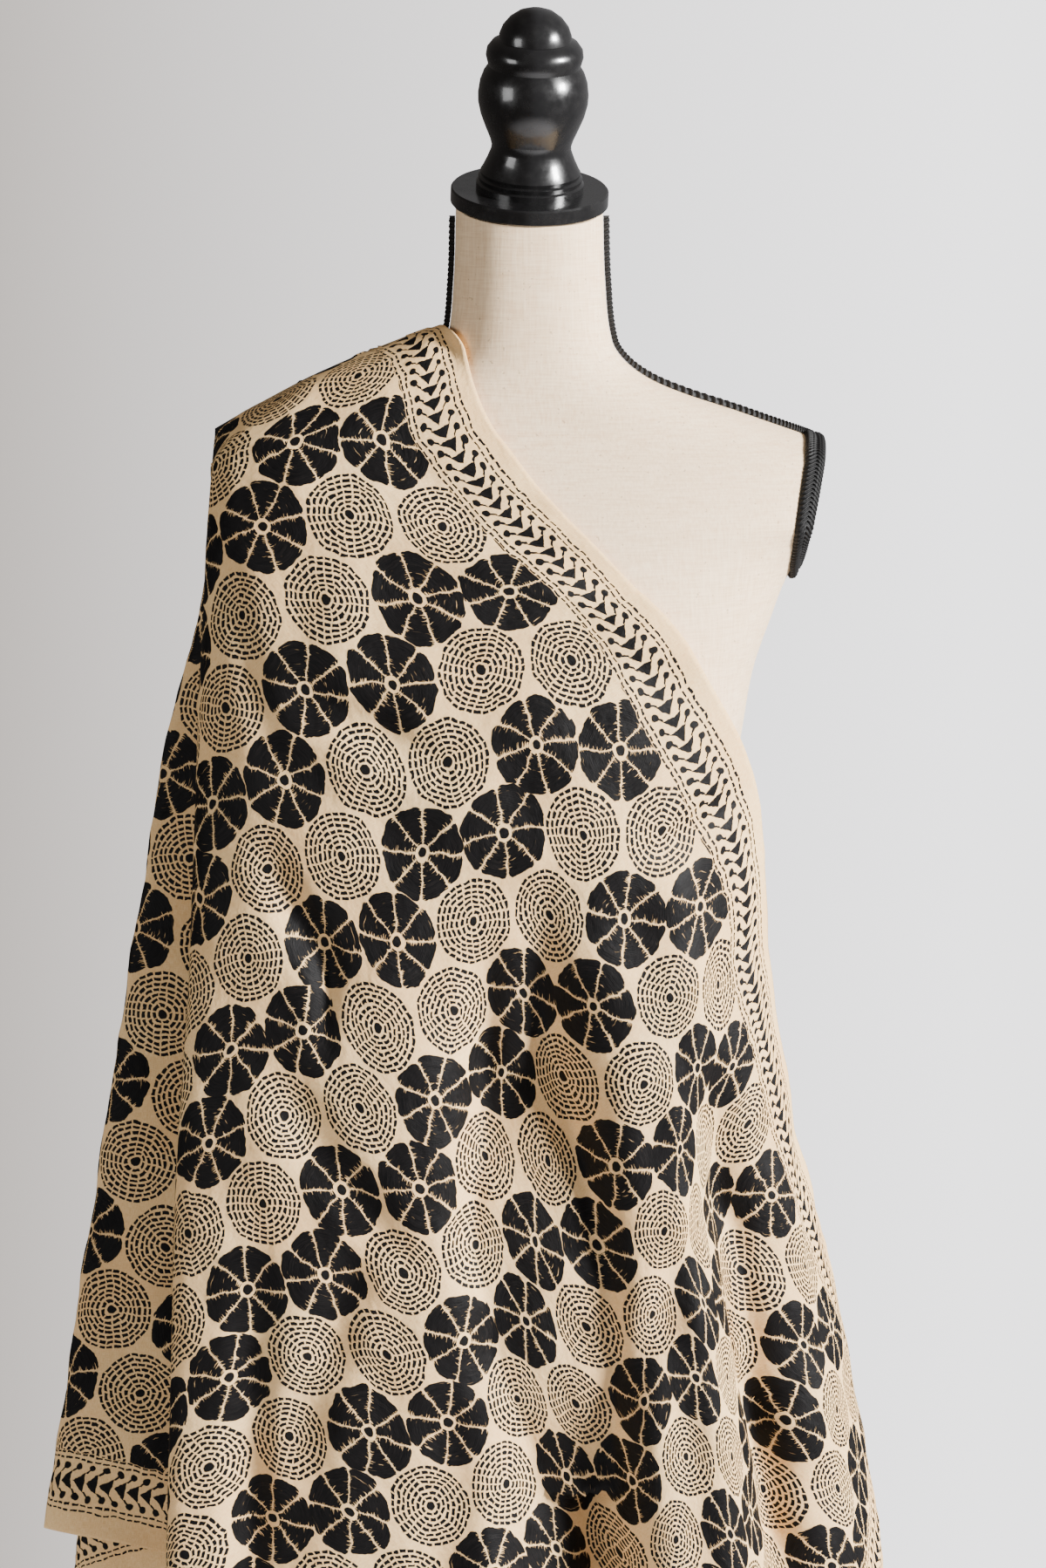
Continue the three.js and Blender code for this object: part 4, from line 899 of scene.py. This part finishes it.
def line_at(angle, way):
    """The line out from the shoulder tip at an angle. The side towards smaller angles is cut off for
    way 1, and the side towards larger angles for way -1."""
    return (TIP["across"], 0), (-math.cos(angle) * way, math.sin(angle) * way)


def pucker(across, along):
    """The cloth's unevenness between its stitches. It dies out towards its fold lines and the ridge."""
    angle, distance = round_tip(across, along)
    lines = (FRONT_FOLD_ANGLE, BACK_FOLD_ANGLE - 2 * math.pi, BACK_FOLD_ANGLE, RIDGE_ANGLE)
    near = min(distance * abs(math.sin(clamp(angle - line, -math.pi / 2, math.pi / 2))) for line in lines)
    place = Vector((across, along, 0))
    wave = noise_3d(place / PUCKER["size"]) * PUCKER["depth"]
    fine = noise_3d(place / PUCKER["fine_size"]) * PUCKER["fine_depth"]
    return (wave + fine) * ease(near, 0, PUCKER["still"])


def hang_cloth(name, sheet, place, node_name):
    """Moves every point of a flat stretch to where it hangs, and finishes it as cloth."""
    flat_area = sum(face.calc_area() for face in sheet.faces)
    flat_places = [vertex.co.copy() for vertex in sheet.verts]
    for vertex in sheet.verts:
        vertex.co = place(vertex.co.x, vertex.co.y)
    sheet.normal_update()
    for vertex, flat_place in zip(sheet.verts, flat_places):
        vertex.co += vertex.normal * pucker(*flat_place.xy)
    piece = finish_piece(name, sheet, kantha, [node_name], 80)
    wall = piece.modifiers.new("thickness", "SOLIDIFY")
    wall.thickness = CLOTH["thick"]
    wall.offset = -1
    return piece


# ---- Front ----
# The stretch that shows most: from the ridge on the shoulder it crosses the chest, goes round the
# right side under the arm, and falls to the hem in deep soft folds.
hang_cloth("dupatta_front", cut_cloth([line_at(FRONT_FOLD_ANGLE, -1), line_at(RIDGE_ANGLE, 1)]),
           front_place, "front_fall")

# ---- Back ----
# From the same ridge down behind the form to the other hem, in long even waves.
hang_cloth("dupatta_back", cut_cloth([line_at(BACK_FOLD_ANGLE, 1), line_at(RIDGE_ANGLE, -1)]),
           back_place, "back_fall")

# ---- Side ----
# The wedge between the two, which opens from the shoulder tip like a fan of folds, down to the far
# selvedge. Its first pleat is tucked in under the front.
# By angle on the flat cloth: how far each fold leans out, in degrees, and its place from front to back.
SIDE_FOLDS = [
    (62, -13, 0.05), (78, -1.2, 0.32), (90, 10.7, 0.43), (102, -1.0, 0.55), (114, 9.0, 0.67),
    (126, -0.6, 0.79), (138, 7.5, 0.9),
]
FOLD_ROUNDING = 0.2
FOLD_BOW = 0.05
FOLDS_OPEN = {"from": 0.030, "to": 0.210, "lean": 2.2}
side_angles = [FRONT_FOLD_ANGLE] + [math.radians(row[0]) for row in SIDE_FOLDS] + [BACK_FOLD_ANGLE]


def bezier(a, b, c, t):
    return a.lerp(b, t).lerp(b.lerp(c, t), t)


def side_fold(index, distance, front_end, back_end):
    """A point of one fold's line, at a distance from the shoulder tip. The first and the last of
    side_angles are the edges of the front and the back."""
    if index == 0:
        return front_end
    if index == len(side_angles) - 1:
        return back_end
    _, lean, share = SIDE_FOLDS[index - 1]
    between = front_end.lerp(back_end, share)
    opened = ease(distance, FOLDS_OPEN["from"], FOLDS_OPEN["to"])
    angle = math.radians(lerp(FOLDS_OPEN["lean"], lean, opened))
    return Vector((TIP["x"] - distance * math.sin(angle), between.y, TIP["z"] - distance * math.cos(angle)))


def side_point(across, along):
    angle, distance = round_tip(across, along)
    angle = clamp(angle, side_angles[0], side_angles[-1])
    last = len(side_angles) - 1
    low = clamp(bisect_left(side_angles, angle) - 1, 0, last - 1)
    part = (angle - side_angles[low]) / (side_angles[low + 1] - side_angles[low])
    front_end, back_end = front.point(0, distance), back.point(0, distance)
    if FOLD_ROUNDING < part < 1 - FOLD_ROUNDING:
        return side_fold(low, distance, front_end, back_end).lerp(
            side_fold(low + 1, distance, front_end, back_end), part)
    k = low if part <= FOLD_ROUNDING else low + 1
    t = (low + part - k) / FOLD_ROUNDING
    here = side_fold(k, distance, front_end, back_end)
    bow = Vector((0, (back_end.y - front_end.y) * FOLD_BOW, 0))
    before = here.lerp(side_fold(k - 1, distance, front_end, back_end), FOLD_ROUNDING) if k > 0 else here
    after = here.lerp(side_fold(k + 1, distance, front_end, back_end), FOLD_ROUNDING) if k < last else here
    if k == 0:
        return bezier(here, here + bow, after, t)
    if k == last:
        return bezier(before, here - bow, here, 1 + t)
    return bezier(before, here, after, (t + 1) / 2)


def side_place(across, along):
    return clear_of_body(side_point(across, along))


hang_cloth("dupatta_side", cut_cloth([line_at(FRONT_FOLD_ANGLE, 1), line_at(BACK_FOLD_ANGLE, -1)]),
           side_place, "side_fall")

# ---- Studio ----
# A plain pale floor that fades out, a grey wall of light that is darker on the left, a soft key from
# the front right, and a weak fill from the front left.
FLOOR = {"radius": 1.72, "fades_from": 0.8, "gone_at": 1.7, "drop": 0.001}
WALL = {"dark_at": -0.15, "light_at": 0.12, "lighting": 0.36, "seen": 3.0}
LAMPS = [("key", (3.1, -1.55, 2.5), 0.8, 620), ("fill", (-2.8, -2.0, 1.7), 1.4, 45)]
LAMPS_AIM = Vector((0, 0, 1.15))

floor_material, shader, node = new_material("pale_floor", 0.95)
shader.inputs["Base Color"].default_value = linear(226, 224, 226)
place = node("ShaderNodeTexCoord").outputs["Object"]
from_middle = node("ShaderNodeVectorMath", {0: place}, operation="LENGTH").outputs["Value"]
link_all(shader, {"Alpha": node("ShaderNodeMapRange", {
    "Value": from_middle, "From Min": FLOOR["gone_at"], "From Max": FLOOR["fades_from"]},
    interpolation_type="SMOOTHSTEP").outputs["Result"]})
floor_mesh = bmesh.new()
bmesh.ops.create_circle(floor_mesh, cap_ends=True, segments=96, radius=FLOOR["radius"])
floor = make_object("floor", floor_mesh, floor_material)
floor.location.z = -FLOOR["drop"]

world = bpy.data.worlds.new("studio")
bpy.context.scene.world = world
world.use_nodes = True
node = node_maker(world.node_tree)
background = world.node_tree.nodes["Background"]
sideways = parts(node("ShaderNodeTexCoord").outputs["Generated"])[0]
light = fade(sideways, WALL["dark_at"], WALL["light_at"])
seen = node("ShaderNodeLightPath").outputs["Is Camera Ray"]
link_all(background, {
    "Color": mixed(node, light, linear(140, 134, 129), linear(241, 240, 242)),
    "Strength": node("ShaderNodeMix", {0: seen, 2: WALL["lighting"], 3: WALL["seen"]}).outputs[0]})
for name, spot_at, size, power in LAMPS:
    lamp_data = bpy.data.lights.new(name, "AREA")
    lamp_data.size = size
    lamp_data.energy = power
    lamp = bpy.data.objects.new(name, lamp_data)
    lamp.location = spot_at
    lamp.rotation_euler = (LAMPS_AIM - lamp.location).to_track_quat("-Z", "Y").to_euler()
    bpy.context.scene.collection.objects.link(lamp)
